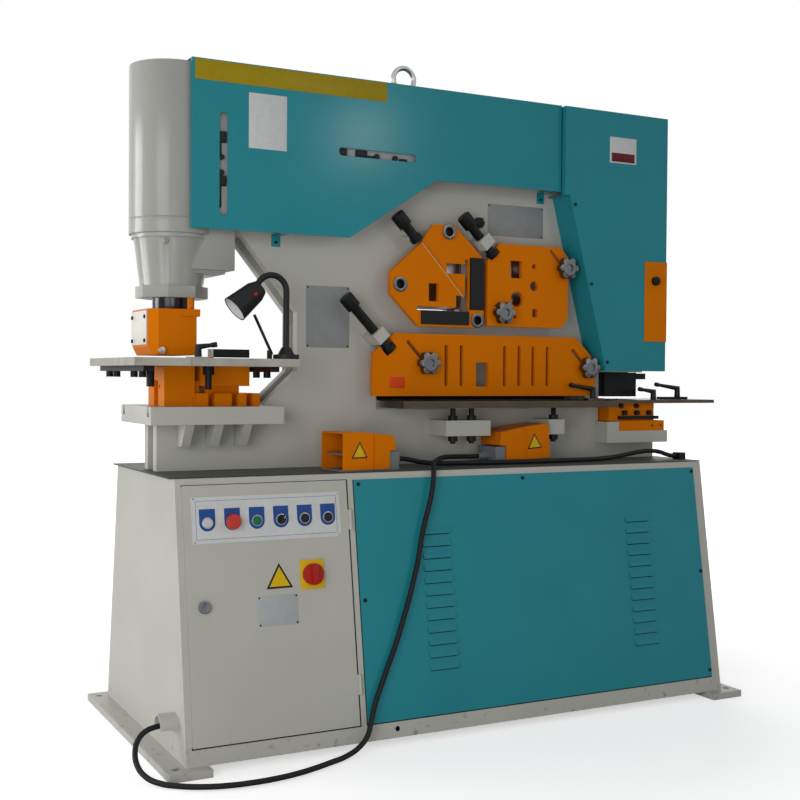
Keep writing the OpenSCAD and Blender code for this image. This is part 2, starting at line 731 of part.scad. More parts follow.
module right_outline() {
  polygon([[rc_x0, cover_top - 4], [rc_x1, cover_top - 4], [rc_x1, rc_z0], [rc_edge(rc_z0), rc_z0],
    [rc_x0 + 21, rc_kink], [rc_x0, rc_kink]]);
}

module right_cover() color(teal) {
  for (side = [0, 1]) mirror([0, side, 0]) {
    along_y(-rcover_y, -rcover_y + sheet_t) right_outline();
    along_y(-rcover_y, -y_f) polygon([[rc_edge(rc_z0), rc_z0], [rc_edge(rc_z0) + sheet_t * 1.05, rc_z0],
      [rc_x0 + 21 + sheet_t * 1.05, rc_kink], [rc_x0 + 21, rc_kink]]);
    box(rc_x0, rc_x0 + sheet_t, -rcover_y, -cover_y - 1, rc_kink, cover_top - 4);
    box(rc_x0, rc_x0 + 21 + sheet_t, -rcover_y, -y_f, rc_kink, rc_kink + sheet_t);
  }
  box(rc_x0, rc_x1, -rcover_y, rcover_y, cover_top - 4 - sheet_t, cover_top - 4);
  box(rc_x1 - sheet_t, rc_x1, -rcover_y, rcover_y, ng_z1 - 20, cover_top - 4);
}

// Bolted sheet guard that wraps the notching end
ng_x0 = rc_x1 - 99;
ng_z0 = rc_z0 + 108;
ng_z1 = ng_z0 + 290;

module notch_guard() color(orange) {
  difference() {
    box(ng_x0, rc_x1 + sheet_t, -rcover_y - sheet_t, rcover_y + sheet_t, ng_z0, ng_z1);
    box(ng_x0 - 1, rc_x1, -rcover_y, rcover_y, ng_z0 - 1, ng_z1 + 1);
  }
}

module lifting_eye() color(steel) {
  translate([eye_x, 0, cover_top + 56]) rotate([90, 0, 0]) rotate_extrude() translate([39, 0]) circle(r = 9, $fn = 24);
  rod_z(eye_x, 0, cover_top + 1, cover_top + 14, 24);
  rod_z(eye_x, 0, frame_top - 38, cover_top + 12, 12);
  rod_z(eye_x, 0, frame_top, frame_top + 12, 21);
}

// Slot at the clamp angle, from a knob towards the upper left
module knob_slot(p, len) {
  translate([p[0], -guard_y1, p[1]]) rotate([0, pin_angle, 0]) {
    box(-len, 0, -1, guard_t + 1, -guard_slot / 2, guard_slot / 2);
    for (x = [-len, 0]) rod_y(x, -1, guard_t + 1, 0, guard_slot / 2);
  }
}

module standoff(x, z) {
  box(x - 18, x + 18, -guard_y0 - 0.01, -y_f, z - 14, z + 14);
}

// Guard and material stop of the angle shear
module angle_guard() color(orange) {
  z = ag_z0;
  difference() {
    union() {
      along_y(-guard_y1, -guard_y0) polygon([[-72, z + 280], [-189, z + 176], [-189, z + 103], [-85, z],
        [155, z], [169, z + 15], [169, z + 60], [95, z + 60], [92, z + 102]]);
      along_y(-guard_y1 + 6, -guard_y0) polygon([[-73, z + 281], [-27, z + 341], [57, z + 341], [169, z + 237],
        [169, z + 59], [94, z + 59], [92, z + 101]]);
      standoff(-130, z + 130);
      standoff(20, z + 300);
      standoff(130, z + 22);
      for (p = bushings) rod_y(p[0], -guard_y1 - 4, -guard_y0, p[1], 25);
    }
    for (p = bushings) rod_y(p[0], -guard_y1 - 5, -guard_y0 - 6, p[1], 15);
    box(-90, 112, -guard_y1 - 1, -guard_y0 + 1, z + 54, z + 66);
    box(60, 112, -guard_y1 - 1, -guard_y0 + 1, z + 54, z + 106);
    box(98, 112, -guard_y1 - 1, -guard_y0 + 1, z + 54, z + 230);
    box(26, 99, -guard_y1 - 1, -guard_y0 + 1, z + 180, z + 214);
    box(-45, -7, -guard_y1 - 1, -guard_y0 + 1, z + 84, z + 144);
  }
}

bushings = [[30, ag_z0 + 318], [-154, ag_z0 + 136], [143, ag_z0 + 24]];

// Black wear pads of the angle guard
module guard_pads() color(black) {
  box(116, 165, -guard_y1 - 4, -guard_y1 + 6, ag_z0 + 60, ag_z0 + 236);
  box(-75, 108, -guard_y1 - 6, -guard_y1, ag_z0 + 7, ag_z0 + 53);
}

// Guard of the bar and section shear with its feed holes
module section_guard() color(orange) {
  z = sg_z0;
  y0 = -guard_y1 - 1;
  y1 = -guard_y0 + 1;
  difference() {
    union() {
      along_y(-guard_y1, -guard_y0) polygon([[sg_x0, z], [sg_x1 - 28, z], [sg_x1, z + 30], [sg_x1, sg_z1 - 34],
        [sg_x1 - 32, sg_z1], [sg_x0 + 44, sg_z1], [sg_x0, sg_z1 - 62]]);
      standoff(sg_x1 - 40, z + 50);
      standoff(sg_x0 + 100, z + 262);
    }
    screw_notch(nut_b, 46);
    box(sg_x0 + 92, sg_x0 + 140, y0, y1, z + 168, z + 228);
    box(sg_x0 + 184, sg_x0 + 206, y0, y1, z + 36, z + 64);
    rod_y(sg_x0 + 120, y0, y1, z + 96, 26);
    rod_y(sg_x0 + 190, y0, y1, z + 144, 17);
    rod_y(sg_x0 + 190, y0, y1, z + 212, 9);
    rod_y(sg_x0 + 111, y0, y1, z + 34, 6);
    knob_slot(knob_at[2], 30);
    knob_slot(knob_at[3], 80);
  }
}

// Long guard of the plate shear
module plate_guard() color(orange) {
  difference() {
    union() {
      along_y(-guard_y1, -guard_y0) polygon([[pg_x0, pg_z0], [pg_x1, pg_z0], [pg_x1, pg_z1 - 80], [pg_x1 - 84, pg_z1],
        [pg_x0 + 76, pg_z1], [pg_x0, pg_z1 - 68]]);
      standoff(pg_x0 + 40, pg_z0 + 60);
      standoff(pg_x1 - 60, pg_z0 + 40);
      standoff(pg_x0 + 350, pg_z1 - 20);
    }
    screw_notch(nut_c, 52);
    for (x = [275, 334, 507, 566, 624, 684]) {
      box(pg_x0 + x - guard_slot / 2, pg_x0 + x + guard_slot / 2, -guard_y1 - 1, -guard_y0 + 1, pg_z0 + 40, pg_z0 + 166);
      for (z = [40, 166]) rod_y(pg_x0 + x, -guard_y1 - 1, -guard_y0 + 1, pg_z0 + z, guard_slot / 2);
    }
    box(pg_x0 + 392, pg_x0 + 441, -guard_y1 - 1, -guard_y0 + 1, pg_z0 + 32, pg_z0 + 114);
    knob_slot(knob_at[0], 96);
    knob_slot(knob_at[1], 84);
  }
}

knob_at = [[pg_x0 + 197, pg_z0 + 109], [pg_x1 - 36, pg_z0 + 100], [sg_x0 + 55, sg_z0 + 46], [sg_x1 - 16, sg_z1 - 74]];

// Star knob with its clamping stud
module star_knob(p) color(steel) {
  r = knob_d / 2;
  translate([p[0], -guard_y1, p[1]]) rotate([90, 0, 0]) {
    difference() {
      union() {
        translate([0, 0, 10]) cylinder(r = r - 10, h = 26);
        for (a = [0 : 60 : 300]) rotate([0, 0, a]) translate([r - 11, 0, 12]) cylinder(r = 11, h = 22, $fn = 20);
        cylinder(r = 17, h = 12);
      }
      translate([0, 0, 32]) cylinder(r = 13, h = 5);
    }
    translate([0, 0, -guard_out]) cylinder(r = stud_d / 2, h = guard_out + 1);
  }
}

module knob_plate_left() star_knob(knob_at[0]);
module knob_plate_right() star_knob(knob_at[1]);
module knob_section_left() star_knob(knob_at[2]);
module knob_section_right() star_knob(knob_at[3]);

// Slanting hold-down screws: lower end, thread and hand nut
nut_b = [sg_x0 - 13, sg_z1 + 1];
nut_c = [pg_x0 + 22, pg_z1 - 10];
lug_a = [-112, ag_z0 + 312];

module hold_down(p, up, down) color(black) {
  translate([p[0], screw_y, p[1]]) rotate([0, pin_angle, 0]) {
    rod_x(-up, down, 0, 0, screw_d / 2);
    rod_x(-up - 48, -up, 0, 0, screw_d / 2 + 8);
    rod_x(down - 1, down + foot_len, 0, 0, screw_d / 2 + 5);
  }
}

module screw_angle() hold_down(lug_a, 26, 22);
module screw_section() hold_down(nut_b, 70, 44);
module screw_plate() hold_down(nut_c, 124, 50);

// Square notch of a guard in front of a hold-down screw
module screw_notch(p, down) {
  w = screw_d / 2 + 8;
  translate([p[0], 0, p[1]]) rotate([0, pin_angle, 0]) box(-60, down + foot_len, -guard_y1 - 1, -guard_y0 + 1, -w, w);
}

// Swing beam between the plates, with its hidden pivot pin
module swing_beam() color("#7d8078") {
  difference() {
    union() {
      along_y(-beam_y, beam_y) polygon([[pivot_x - 30, pivot_z - 52], [pivot_x - 58, pivot_z - 20], [pivot_x - 58, pivot_z + 30],
        [pivot_x + 70, ag_z0 + 250], [pivot_x + 330, beam_top], [beam_x1, beam_top], [beam_x1, upper_z + 5],
        [punch_n0 - 30, upper_z + 5], [jaw_x - 15, upper_z - 20], [jaw_x - 45, beam_low], [-215, beam_low],
        [pivot_x + 30, pivot_z - 52]]);
      rod_y(pivot_x, -frame_gap / 2 - pivot_in, frame_gap / 2 + pivot_in, pivot_z, pivot_d / 2);
    }
    box(-90, 118, -beam_y - 1, beam_y + 1, ag_z0 + 50, ag_z0 + 232);
    box(sg_x0 + 70, sg_x0 + 212, -beam_y - 1, beam_y + 1, sg_z0 + 62, sg_z0 + 240);
  }
}

// Raked shear blade and the notching punch, both bolted under the beam
module upper_blades() color("#2a2c2e") {
  along_y(-beam_y, -beam_y + 22) polygon([[0, beam_low], [0, shear_z + 17], [640, shear_z + 50], [640, beam_low]]);
  box(punch_n0 + 12, punch_n1 - 12, -beam_y, beam_y, upper_z - 2, upper_z + 5);
  box(punch_n0, punch_n1, -notch_punch_w / 2, notch_punch_w / 2, notch_z + 11, upper_z - 1);
  box(punch_n1 - 1, punch_n1 + 44, -notch_punch_w / 2, notch_punch_w / 2 - 40, upper_z - 26, upper_z - 4);
  // moving angle and bar blades in the windows of the beam
  difference() {
    box(-90, 118, -beam_y, beam_y, ag_z0 + 50, ag_z0 + 232);
    angle_opening(-beam_y - 1, beam_y + 1);
  }
  difference() {
    box(sg_x0 + 70, sg_x0 + 212, -beam_y, beam_y, sg_z0 + 62, sg_z0 + 240);
    bar_openings(-beam_y - 1, beam_y + 1);
  }
}

// Support table in front of the plate shear
table_bolts = [[34, -y_f - 96], [106, -y_f - 96], [440, -y_f - 96]];

module shear_table() color(steel) {
  difference() {
    union() {
      box(-190, jaw_x - 40, -y_f - shear_out, -y_f, shear_z - shear_t, shear_z);
      box(jaw_x - 120, jaw_x - 46, -y_f - 100, -guard_y1 - 4, shear_z - 1, shear_z + 8);
    }
    box(-150, jaw_x - 150, -y_f - 120, -y_f - 108, shear_z - 8, shear_z + 1);
  }
}

// Notching table with the opening for the punch
module notch_table() color(steel) {
  difference() {
    box(notch_x0, notch_x1, -notch_d / 2, notch_d / 2, notch_z - notch_t, notch_z);
    box(notch_x0 - 1, jaw_x + clear, -y_f - clear, y_f + clear, notch_z - notch_t - 1, notch_z + 1);
    box(punch_n0 - 12, punch_n1 + 5, -notch_punch_w / 2 - 5, notch_punch_w / 2 + 5, notch_z - notch_t - 1, notch_z + 1);
    box(punch_n1 + 60, notch_x1 - 60, -notch_d / 2 + 40, -notch_d / 2 + 52, notch_z - 7, notch_z + 1);
  }
}

nh_y = 118;
nh_z0 = jaw_z;
nh_z1 = notch_z - notch_t;

// Orange die holder of the notching station, open for the punch
module notch_holder() color(orange) {
  difference() {
    union() {
      box(jaw_x + 7, jaw_x + 214, -nh_y, nh_y, nh_z0 + 36, nh_z1);
      box(jaw_x + 44, frame_x1 - 6, -nh_y - 17, nh_y + 17, nh_z0, nh_z0 + 37);
    }
    box(punch_n0 - 12, punch_n1 + 5, -notch_punch_w / 2 - 5, notch_punch_w / 2 + 5, nh_z0 + 28, nh_z1 + 1);
    for (x = [20, 60]) rod_y(frame_x1 - x, -nh_y - 18, -nh_y - 4, nh_z0 + 18, 6);
  }
}

// Jack cylinder that drives the beam, under the right cover
plunger_r = 36;

module beam_cylinder() color(grey) {
  difference() {
    union() {
      rod_z(jack_x, 0, seat_z, cover_top - 30, 74);
      box(jack_x - 90, jack_x + 90, -y_f, y_f, seat_z, seat_z + 26);
    }
    rod_z(jack_x, 0, seat_z - 1, cover_top - 50, plunger_r + run_fit);
  }
}

module beam_plunger() color(steel) {
  rod_z(jack_x, 0, beam_top, seat_z + 71, beam_y - 1);
  rod_z(jack_x, 0, seat_z + 70, seat_z + 160, plunger_r);
}

// Motor with its fins, foot, coupling and pump on the base floor
module motor_pump() color(grey) {
  z0 = rail_t + floor_t;
  zc = z0 + 140;
  rod_x(300, 640, 0, zc, 104);
  for (i = [0 : 9]) rod_x(330 + i * 28, 338 + i * 28, 0, zc, 114);
  rod_x(640, 700, 0, zc, 92);
  rod_x(220, 301, 0, zc, 62);
  rod_x(90, 221, 0, zc, 74);
  for (x = [360, 560]) box(x, x + 50, -95, 95, z0, zc - 60);
  box(400, 520, -60, 60, zc + 90, zc + 150);
}

// Mounting plate with contactors behind the door
module electric_plate() color("#b9bcb8") {
  x0 = door_x0 + 60;
  y0 = 210;
  z0 = rail_t + floor_t;
  box(x0, x0 + 400, y0, y0 + 3, z0, z0 + 640);
  for (i = [0 : 3]) box(x0 + 30 + i * 88, x0 + 100 + i * 88, y0 - 80, y0, z0 + 470, z0 + 570);
  for (i = [0 : 5]) box(x0 + 30 + i * 58, x0 + 76 + i * 58, y0 - 60, y0, z0 + 320, z0 + 400);
  box(x0 + 30, x0 + 350, y0 - 45, y0, z0 + 200, z0 + 250);
  box(x0 + 30, x0 + 180, y0 - 110, y0, z0 + 50, z0 + 150);
}

// Foot switches: open end at x = 0, body and gland at the far end
fs_w = 125;
fs_h = 120;
fs_t = 3;
fs_pivot = [150, 44];

module at_left_switch() {
  translate([-432, -294, foot_z]) rotate([0, 0, 8]) children();
}

module at_right_switch() {
  translate([187, 0, foot_z]) rotate([0, -4, 0]) translate([216, -y_f - 8, 0]) rotate([0, 0, 180]) children();
}

module foot_hood() {
  difference() {
    along_y(0, fs_w) polygon([[0, 4], [0, fs_h], [16, fs_h + 2], [105, fs_h - 2], [192, fs_h - 12], [200, 64], [176, 60], [176, 4]]);
    along_y(fs_t, fs_w - fs_t) polygon([[-1, 3], [-1, fs_h - fs_t], [16, fs_h - fs_t], [105, fs_h - fs_t - 2],
      [188, fs_h - fs_t - 12], [196, 68], [173, 63], [173, 3]]);
  }
  for (y = [0, fs_w - fs_t]) translate([0, y, 0]) box(102, 110, y > 0 ? 0 : -4, y > 0 ? fs_t + 4 : fs_t, 4, fs_h - 2);
}

module foot_hoods() color(orange) {
  at_left_switch() foot_hood();
  at_right_switch() foot_hood();
}

module foot_body() {
  difference() {
    union() {
      box(0, 216, 2, fs_w - 2, 0, 4);
      box(178, 216, 6, fs_w - 6, 0, 58);
      rod_x(215, 236, fs_w / 2, 28, 16);
      rod_x(235, 252, fs_w / 2, 28, 12);
      for (y = [8, fs_w - 18]) box(140, 160, y, y + 10, 3, 56);
    }
    rod_y(fs_pivot[0], 0, fs_w, fs_pivot[1], 4 + run_fit);
  }
}

module foot_bodies() color(grey) {
  at_left_switch() foot_body();
  at_right_switch() foot_body();
}

// Pedal plate on its cross pin
module foot_pedal() {
  along_y(20, fs_w - 20) polygon([[14, 58], [8, 54], [8, 50], [60, 51], [146, 40], [156, 40], [156, 48], [60, 58]]);
  rod_y(fs_pivot[0], 9, fs_w - 9, fs_pivot[1], 4);
}

// Points given in the frames of the two foot switches
function left_pt(x, y, z) = [-432 + x * cos(8) - y * sin(8), -294 + x * sin(8) + y * cos(8), foot_z + z];
function right_pt(x, y, z) = [187 + (216 - x) * cos(4) - z * sin(4), -y_f - 8 - y, foot_z + (216 - x) * sin(4) + z * cos(4)];

module pedal_left() color(steel) at_left_switch() foot_pedal();
module pedal_right() color(steel) at_right_switch() foot_pedal();

// Round cord through a list of points
function unit(v) = v / norm(v);
function ring(p, t, r, n) = let(a = unit(cross(t, [0.11, 0.94, 0.31])), b = cross(t, a))
  [for (k = [0 : n - 1]) p + r * (cos(360 * k / n) * a + sin(360 * k / n) * b)];

module cord(pts, r) {
  n = 10;
  m = len(pts);
  tangents = [for (i = [0 : m - 1]) unit(pts[min(i + 1, m - 1)] - pts[max(i - 1, 0)])];
  verts = [for (i = [0 : m - 1]) each ring(pts[i], tangents[i], r, n)];
  sides = [for (i = [0 : m - 2], k = [0 : n - 1])
    [i * n + k, i * n + (k + 1) % n, (i + 1) * n + (k + 1) % n, (i + 1) * n + k]];
  ends = [[for (k = [n - 1 : -1 : 0]) k], [for (k = [0 : n - 1]) (m - 1) * n + k]];
  polyhedron(verts, concat(sides, ends), convexity = 8);
}

foot_route = [right_pt(252.3, fs_w / 2, 28), right_pt(272, fs_w / 2, 28), [96, -136, 844], [62, -143, 845], [32, -156, 846],
  [0, -175, 847], [-38, -204, 846], [-72, -240, 842], [-102, -276, 839], [-122, -310, 834], [-134, -332, 814],
  [-142, -343, 784], [-150, -349, 752], [-160, -353, 716], [-176, -358, 670], [-195, -366, 610], [-212, -376, 545], [-232, -385, 485],
  [-254, -394, 425], [-278, -403, 366], [-304, -412, 305], [-334, -421, 245], [-364, -431, 185], [-390, -441, 132],
  [-408, -453, 86], [-426, -466, 50], [-458, -480, 26], [-508, -500, 12], [-572, -526, 9], [-632, -552, 9], [-700, -574, 9],
  [-770, -586, 9], [-840, -588, 9], [-905, -580, 9], [-965, -560, 9], [-1018, -528, 9], [-1060, -486, 10],
  [-1086, -440, 18], [-1098, -400, 38], [-1096, -368, 66], [-1082, -346, 92], [-1058, -334, 110],
  [-1028, -330, 118], [-1000, -330, 120], [-960, -330, 120]];

rear_route = [left_pt(252.3, fs_w / 2, 28), left_pt(272, fs_w / 2, 28), [-136, -189, 841], [-100, -186, 834], [-50, -185, 829],
  [20, -190, 828], [80, -198, 828], [140, -210, 828], [200, -218, 828], [266, -222, 828], [340, -224, 828], [420, -222, 828],
  [500, -216, 828], [570, -206, 828], [640, -194, 829], [700, -184, 833], [755, -180, 840], [805, -182, 847],
  [846, -190, 850], [882, -198, 846], [908, -205, 837], [930, -208, 832], [949.7, -208, 832]];

module foot_cord() color(black) cord(foot_route, cord_r);
module rear_cord() color(black) cord(rear_route, cord_r);

// Electrical door with folded edge, hinge barrels and holes for the controls
module cabinet_door() color(cream) {
  fold = lap + 5;
  on_front() difference() {
    union() {
      box(door_x0, door_x1, door_face, -door_gap, front_s0, front_s1);
      difference() {
        box(door_x0 + fold, door_x1 - fold, -door_gap - 0.5, door_fold, front_s0 + fold, front_s1 - fold - 8);
        box(door_x0 + fold + 2, door_x1 - fold - 2, -door_gap, door_fold + 1, front_s0 + fold + 2, front_s1 - fold - 10);
      }
      for (s = [front_s0 + 90, front_s1 - 150]) {
        rod_z(hinge_x, -6, s, s + 60, 5);
        box(door_x1 - 1, hinge_x, door_face, -door_gap, s, s + 60);
      }
    }
    for (x = device_x) rod_y(x, door_face - 1, 1, device_s, button_d / 2 + clear);
    rod_y(switch_x, door_face - 1, 1, switch_s, 12 + clear);
    rod_y(lock_x, door_face - 1, 1, lock_s, 11 + clear);
  }
}

module shield(x) {
  translate([x, 0, device_s]) along_y(shield_face, plate_face + 0.01) union() {
    circle(r = 24);
    translate([-24, 0]) square([48, 40]);
  }
}

// Control plate with six shields and rings, the signal lamp and the main switch plate
module control_plate() color("#c9ccd2") {
  on_front() difference() {
    union() {
      box(door_x0 + 24, door_x0 + 490, plate_face, door_face, slope_len - 188, slope_len - 54);
      for (x = device_x) {
        shield(x);
        rod_y(x, bezel_face, shield_face + 0.01, device_s, button_d / 2 + 3);
      }
      box(switch_x - 38, switch_x + 38, door_face - 2, door_face, switch_s - 43, switch_s + 43);
      translate([device_x[0], bezel_face - 5, device_s]) rotate([90, 0, 0]) cylinder(r1 = 15, r2 = 12, h = 5);
      rod_y(device_x[0], bezel_face - 5, bezel_face, device_s, 15);
    }
    for (i = [1 : 5]) rod_y(device_x[i], bezel_face - 1, 1, device_s, button_d / 2 + clear);
    rod_y(switch_x, door_face - 3, 1, switch_s, 12 + clear);
  }
}

module push_cap(i) {
  on_front() rod_y(device_x[i], bezel_face - 6, 14, device_s, button_d / 2);
}

module stop_button() color("#c8342c") {
  on_front() {
    rod_y(device_x[1], bezel_face - 8, 14, device_s, button_d / 2);
    translate([device_x[1], bezel_face - 7, device_s]) rotate([90, 0, 0]) cylinder(r1 = stop_d / 2, r2 = stop_d / 2 - 4, h = 14);
  }
}

module green_button() color("#1f6f4a") push_cap(2);
module black_button_left() color(black) push_cap(4);
module black_button_right() color(black) push_cap(5);

module selector_switch() color(black) {
  push_cap(3);
  on_front() translate([device_x[3], bezel_face - 6, device_s]) rotate([0, 40, 0]) box(-4, 4, -12, 0.5, -12, 12);
}

module switch_knob() color("#b01f1c") {
  on_front() {
    rod_y(switch_x, door_face - 3, 16, switch_s, 12);
    rod_y(switch_x, door_face - 16, door_face - 2.4, switch_s, switch_d / 2);
    box(switch_x - 9, switch_x + 9, door_face - 30, door_face - 15, switch_s - switch_d / 2 + 6, switch_s + switch_d / 2 - 6);
  }
}

// Quarter-turn lock with its latch tongue behind the door
module door_lock() color(steel) {
  on_front() {
    difference() {
      rod_y(lock_x, door_face - 8, door_face - 0.4, lock_s, 18);
      box(lock_x - 2.5, lock_x + 2.5, door_face - 9, door_face - 4, lock_s - 13, lock_s + 13);
    }
    rod_y(lock_x, door_face - 1, 26, lock_s, 11);
    box(lock_x - 11, lock_x + 11, 18, 22, lock_s - 46, lock_s + 11);
  }
}

// Ram with its piston
module ram() color(black) {
  low = strip_z + 100;
  piston_z = seam_z + 90;
  translate([punch_x, 0, 0]) {
    rod_z(0, 0, low, piston_z + 1, ram_d / 2);
    rod_z(0, 0, piston_z, piston_z + 56, cyl_bore / 2 - run_fit);
  }
}

module punch() color(steel) {
  low = strip_z + 3;
  rod_z(punch_x, 0, low, strip_z + 100, punch_d / 2);
  rod_z(punch_x, 0, strip_z + 84, strip_z + 100, punch_d / 2 + 8);
}

// Clamping lever: post with a slanting arm
module clamp_lever(x, y, z, h, turn, len) color(black) {
  translate([x, y, z]) rotate([0, 0, turn]) {
    cylinder(r = 11, h = h);
    translate([0, 0, h - 10]) rotate([0, -82, 0]) cylinder(r1 = 8.5, r2 = 5.5, h = len);
    translate([0, 0, h - 10]) rotate([0, -82, 0]) translate([0, 0, len - 8]) cylinder(r = 8, h = 16);
  }
}

stop_x = punch_x + 20;
stop_y = -table_d / 2 + 84;

module lever_punch() clamp_lever(stop_x + 10, stop_y + 12, table_z + 4, 40, 170, 50);
module lever_shear() clamp_lever(jaw_x - 84, -y_f - 80, shear_z + 8, 42, 4, 100);
module lever_notch_inner() clamp_lever(punch_n1 + 40, -notch_d / 2 + 40, notch_z, 40, 0, 62);
module lever_notch_outer() clamp_lever(notch_x1 - 118, -notch_d / 2 + 72, notch_z + 10, 42, 0, 100);

// Back gauge of the punch table: angle foot with its ruler bar
module ruler_stop() color(black) {
  box(stop_x - 22, stop_x + 52, stop_y - 4, stop_y + 30, table_z, table_z + 4);
  box(stop_x + 46, stop_x + 52, stop_y - 4, stop_y + 30, table_z, table_z + 28);
  box(stop_x + 51, stop_x + 168, stop_y, stop_y + 12, table_z + 3, table_z + 28);
}

base_cabinet();
drip_tray();
front_panel();
fasteners();
main_frame();
punch_cylinder();
cylinder_casting();
stripper();
punch_table();
table_hardware();
die_holder();
lower_tools();
work_lamp();
top_cover();
right_cover();
notch_guard();
lifting_eye();
beam_plunger();
angle_guard();
guard_pads();
section_guard();
plate_guard();
shear_table();
notch_table();
notch_holder();
beam_cylinder();
motor_pump();
electric_plate();
foot_hoods();
foot_bodies();
foot_cord();
rear_cord();
cabinet_door();
control_plate();
door_lock();
stop_button();
green_button();
selector_switch();
black_button_left();
black_button_right();
switch_knob();
ram();
punch();
swing_beam();
upper_blades();
knob_plate_left();
knob_plate_right();
knob_section_left();
knob_section_right();
screw_angle();
screw_section();
screw_plate();
lever_punch();
lever_shear();
lever_notch_inner();
lever_notch_outer();
ruler_stop();
pedal_left();
pedal_right();
lamp_switch();
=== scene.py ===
"""Finishes and small fittings of a hydraulic ironworker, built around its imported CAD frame."""

import json
import math

import bpy
from mathutils import Matrix, Vector


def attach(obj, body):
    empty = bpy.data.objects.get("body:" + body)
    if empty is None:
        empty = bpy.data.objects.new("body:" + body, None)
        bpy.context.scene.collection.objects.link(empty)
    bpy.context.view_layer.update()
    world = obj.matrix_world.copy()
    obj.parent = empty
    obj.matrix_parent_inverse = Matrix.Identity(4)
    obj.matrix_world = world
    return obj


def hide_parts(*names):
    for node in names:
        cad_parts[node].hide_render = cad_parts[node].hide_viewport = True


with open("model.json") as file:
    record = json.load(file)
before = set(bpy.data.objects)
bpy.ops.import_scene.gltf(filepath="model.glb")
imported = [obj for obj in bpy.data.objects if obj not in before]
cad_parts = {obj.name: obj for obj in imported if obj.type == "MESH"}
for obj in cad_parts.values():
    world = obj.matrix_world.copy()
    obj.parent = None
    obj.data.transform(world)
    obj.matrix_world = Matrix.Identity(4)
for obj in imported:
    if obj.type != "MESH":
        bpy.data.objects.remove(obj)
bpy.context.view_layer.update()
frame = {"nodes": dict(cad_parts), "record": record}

bl_info = {
    "name": "Ironworker finishes",
    "version": (1, 0, 0),
    "blender": (4, 5, 0),
    "location": "View3D > Sidebar > Ironworker",
    "description": "Paints the ironworker's solids and models its knobs, levers, cords, plates and lamp",
    "category": "Object",
}

MM = 0.001

# The base is deeper at its foot than at its head, so its front leans back
FOOT_DEPTH = 876 * MM
HEAD_DEPTH = 626 * MM
RAIL_TOP = 22 * MM
BASE_TOP = 816 * MM
LEAN = math.atan2((FOOT_DEPTH - HEAD_DEPTH) / 2, BASE_TOP - RAIL_TOP)
SLOPE = (BASE_TOP - RAIL_TOP) / math.cos(LEAN)

# Takes x along the leaning front, y inward and z up the slope to the machine's own axes
FRONT = Matrix.Translation((0, -FOOT_DEPTH / 2, RAIL_TOP)) @ Matrix.Rotation(-LEAN, 4, "X")

# Upright faces that carry fittings, by their y
COVER_FACE = -0.150
RIGHT_COVER_FACE = -0.172
FRAME_FACE = -0.064
GUARD_FACE = -0.130

# Faces of the door that carry fittings, by their y before the leaning front
DOOR_FACE = -0.0029
CONTROL_FACE = -0.0044
SHIELD_FACE = -0.0054

# Riveted data plates: left, right, foot and head, on the frame and up the slope of the door
FRAME_PLATES = {
    "frame_plate_left": (-0.460, -0.306, 1.205, 1.405),
    "frame_plate_upper": (0.222, 0.453, 1.606, 1.716),
}
DOOR_PLATE = (-0.738, -0.612, SLOPE - 0.437, SLOPE - 0.349)


def linear(code):
    """Linear colour of an sRGB hex value."""
    parts = [int(code[i : i + 2], 16) / 255 for i in (1, 3, 5)]
    return tuple(c / 12.92 if c <= 0.04045 else ((c + 0.055) / 1.055) ** 2.4 for c in parts)


def colour(name, code, about):
    """A colour property with its default from a hex value."""
    return bpy.props.FloatVectorProperty(
        name=name, description=about, subtype="COLOR", size=3, min=0, max=1, default=linear(code)
    )


def length(name, value, about):
    """A length property in metres."""
    return bpy.props.FloatProperty(name=name, description=about, unit="LENGTH", min=0, default=value)


class IronworkerColours(bpy.types.PropertyGroup):
    """Paint and plastic colours."""

    cream: colour("Cream", "#c0bfb7", "Paint of base, frame and door")
    teal: colour("Teal", "#248d99", "Paint of covers and panel")
    orange: colour("Orange", "#e27a00", "Paint of guards, holders and hoods")
    tray: colour("Tray", "#4a5049", "Paint of the drip tray")
    black: colour("Black", "#17191a", "Black oxide of bolts and screws")
    yellow: colour("Yellow", "#e3b914", "Enamel of the triangles and the switch plate")
    blue: colour("Blue", "#264f94", "Enamel of the button shields")
    red: colour("Red", "#b4231d", "Plastic of the main switch knob and the lamp switch")
    green: colour("Green", "#1d6b47", "Plastic of the start button")
    white: colour("White", "#d5d7d6", "Enamel of bare signs and control plate")


class IronworkerSizes(bpy.types.PropertyGroup):
    """Sizes of the fittings that are modelled here."""

    cord: length("Cord", 16 * MM, "Diameter of the foot switch cords")
    plate: length("Plate", 0.6 * MM, "Thickness of a bare sign")
    peel: length("Paint grain", 4 * MM, "Size of the grain in the sprayed paint")
    edge: length("Edge", 1.5 * MM, "Rounding of painted edges")


def colours():
    return bpy.context.scene.ironworker_colours


def sizes():
    return bpy.context.scene.ironworker_sizes


# Materials


def add(tree, kind, sockets=None, **settings):
    """Adds a node, with its settings, and its sockets set to values or linked to other sockets."""
    node = tree.nodes.new(kind)
    for key, value in settings.items():
        setattr(node, key, value)
    for key, value in (sockets or {}).items():
        if isinstance(value, bpy.types.NodeSocket):
            tree.links.new(value, node.inputs[key])
        else:
            node.inputs[key].default_value = value
    return node


def new_material(name):
    """A new material, its node tree, its Principled shader and its Object coordinates."""
    material = bpy.data.materials.new(name)
    material.use_nodes = True
    tree = material.node_tree
    where = add(tree, "ShaderNodeTexCoord").outputs["Object"]
    return material, tree, tree.nodes["Principled BSDF"], where


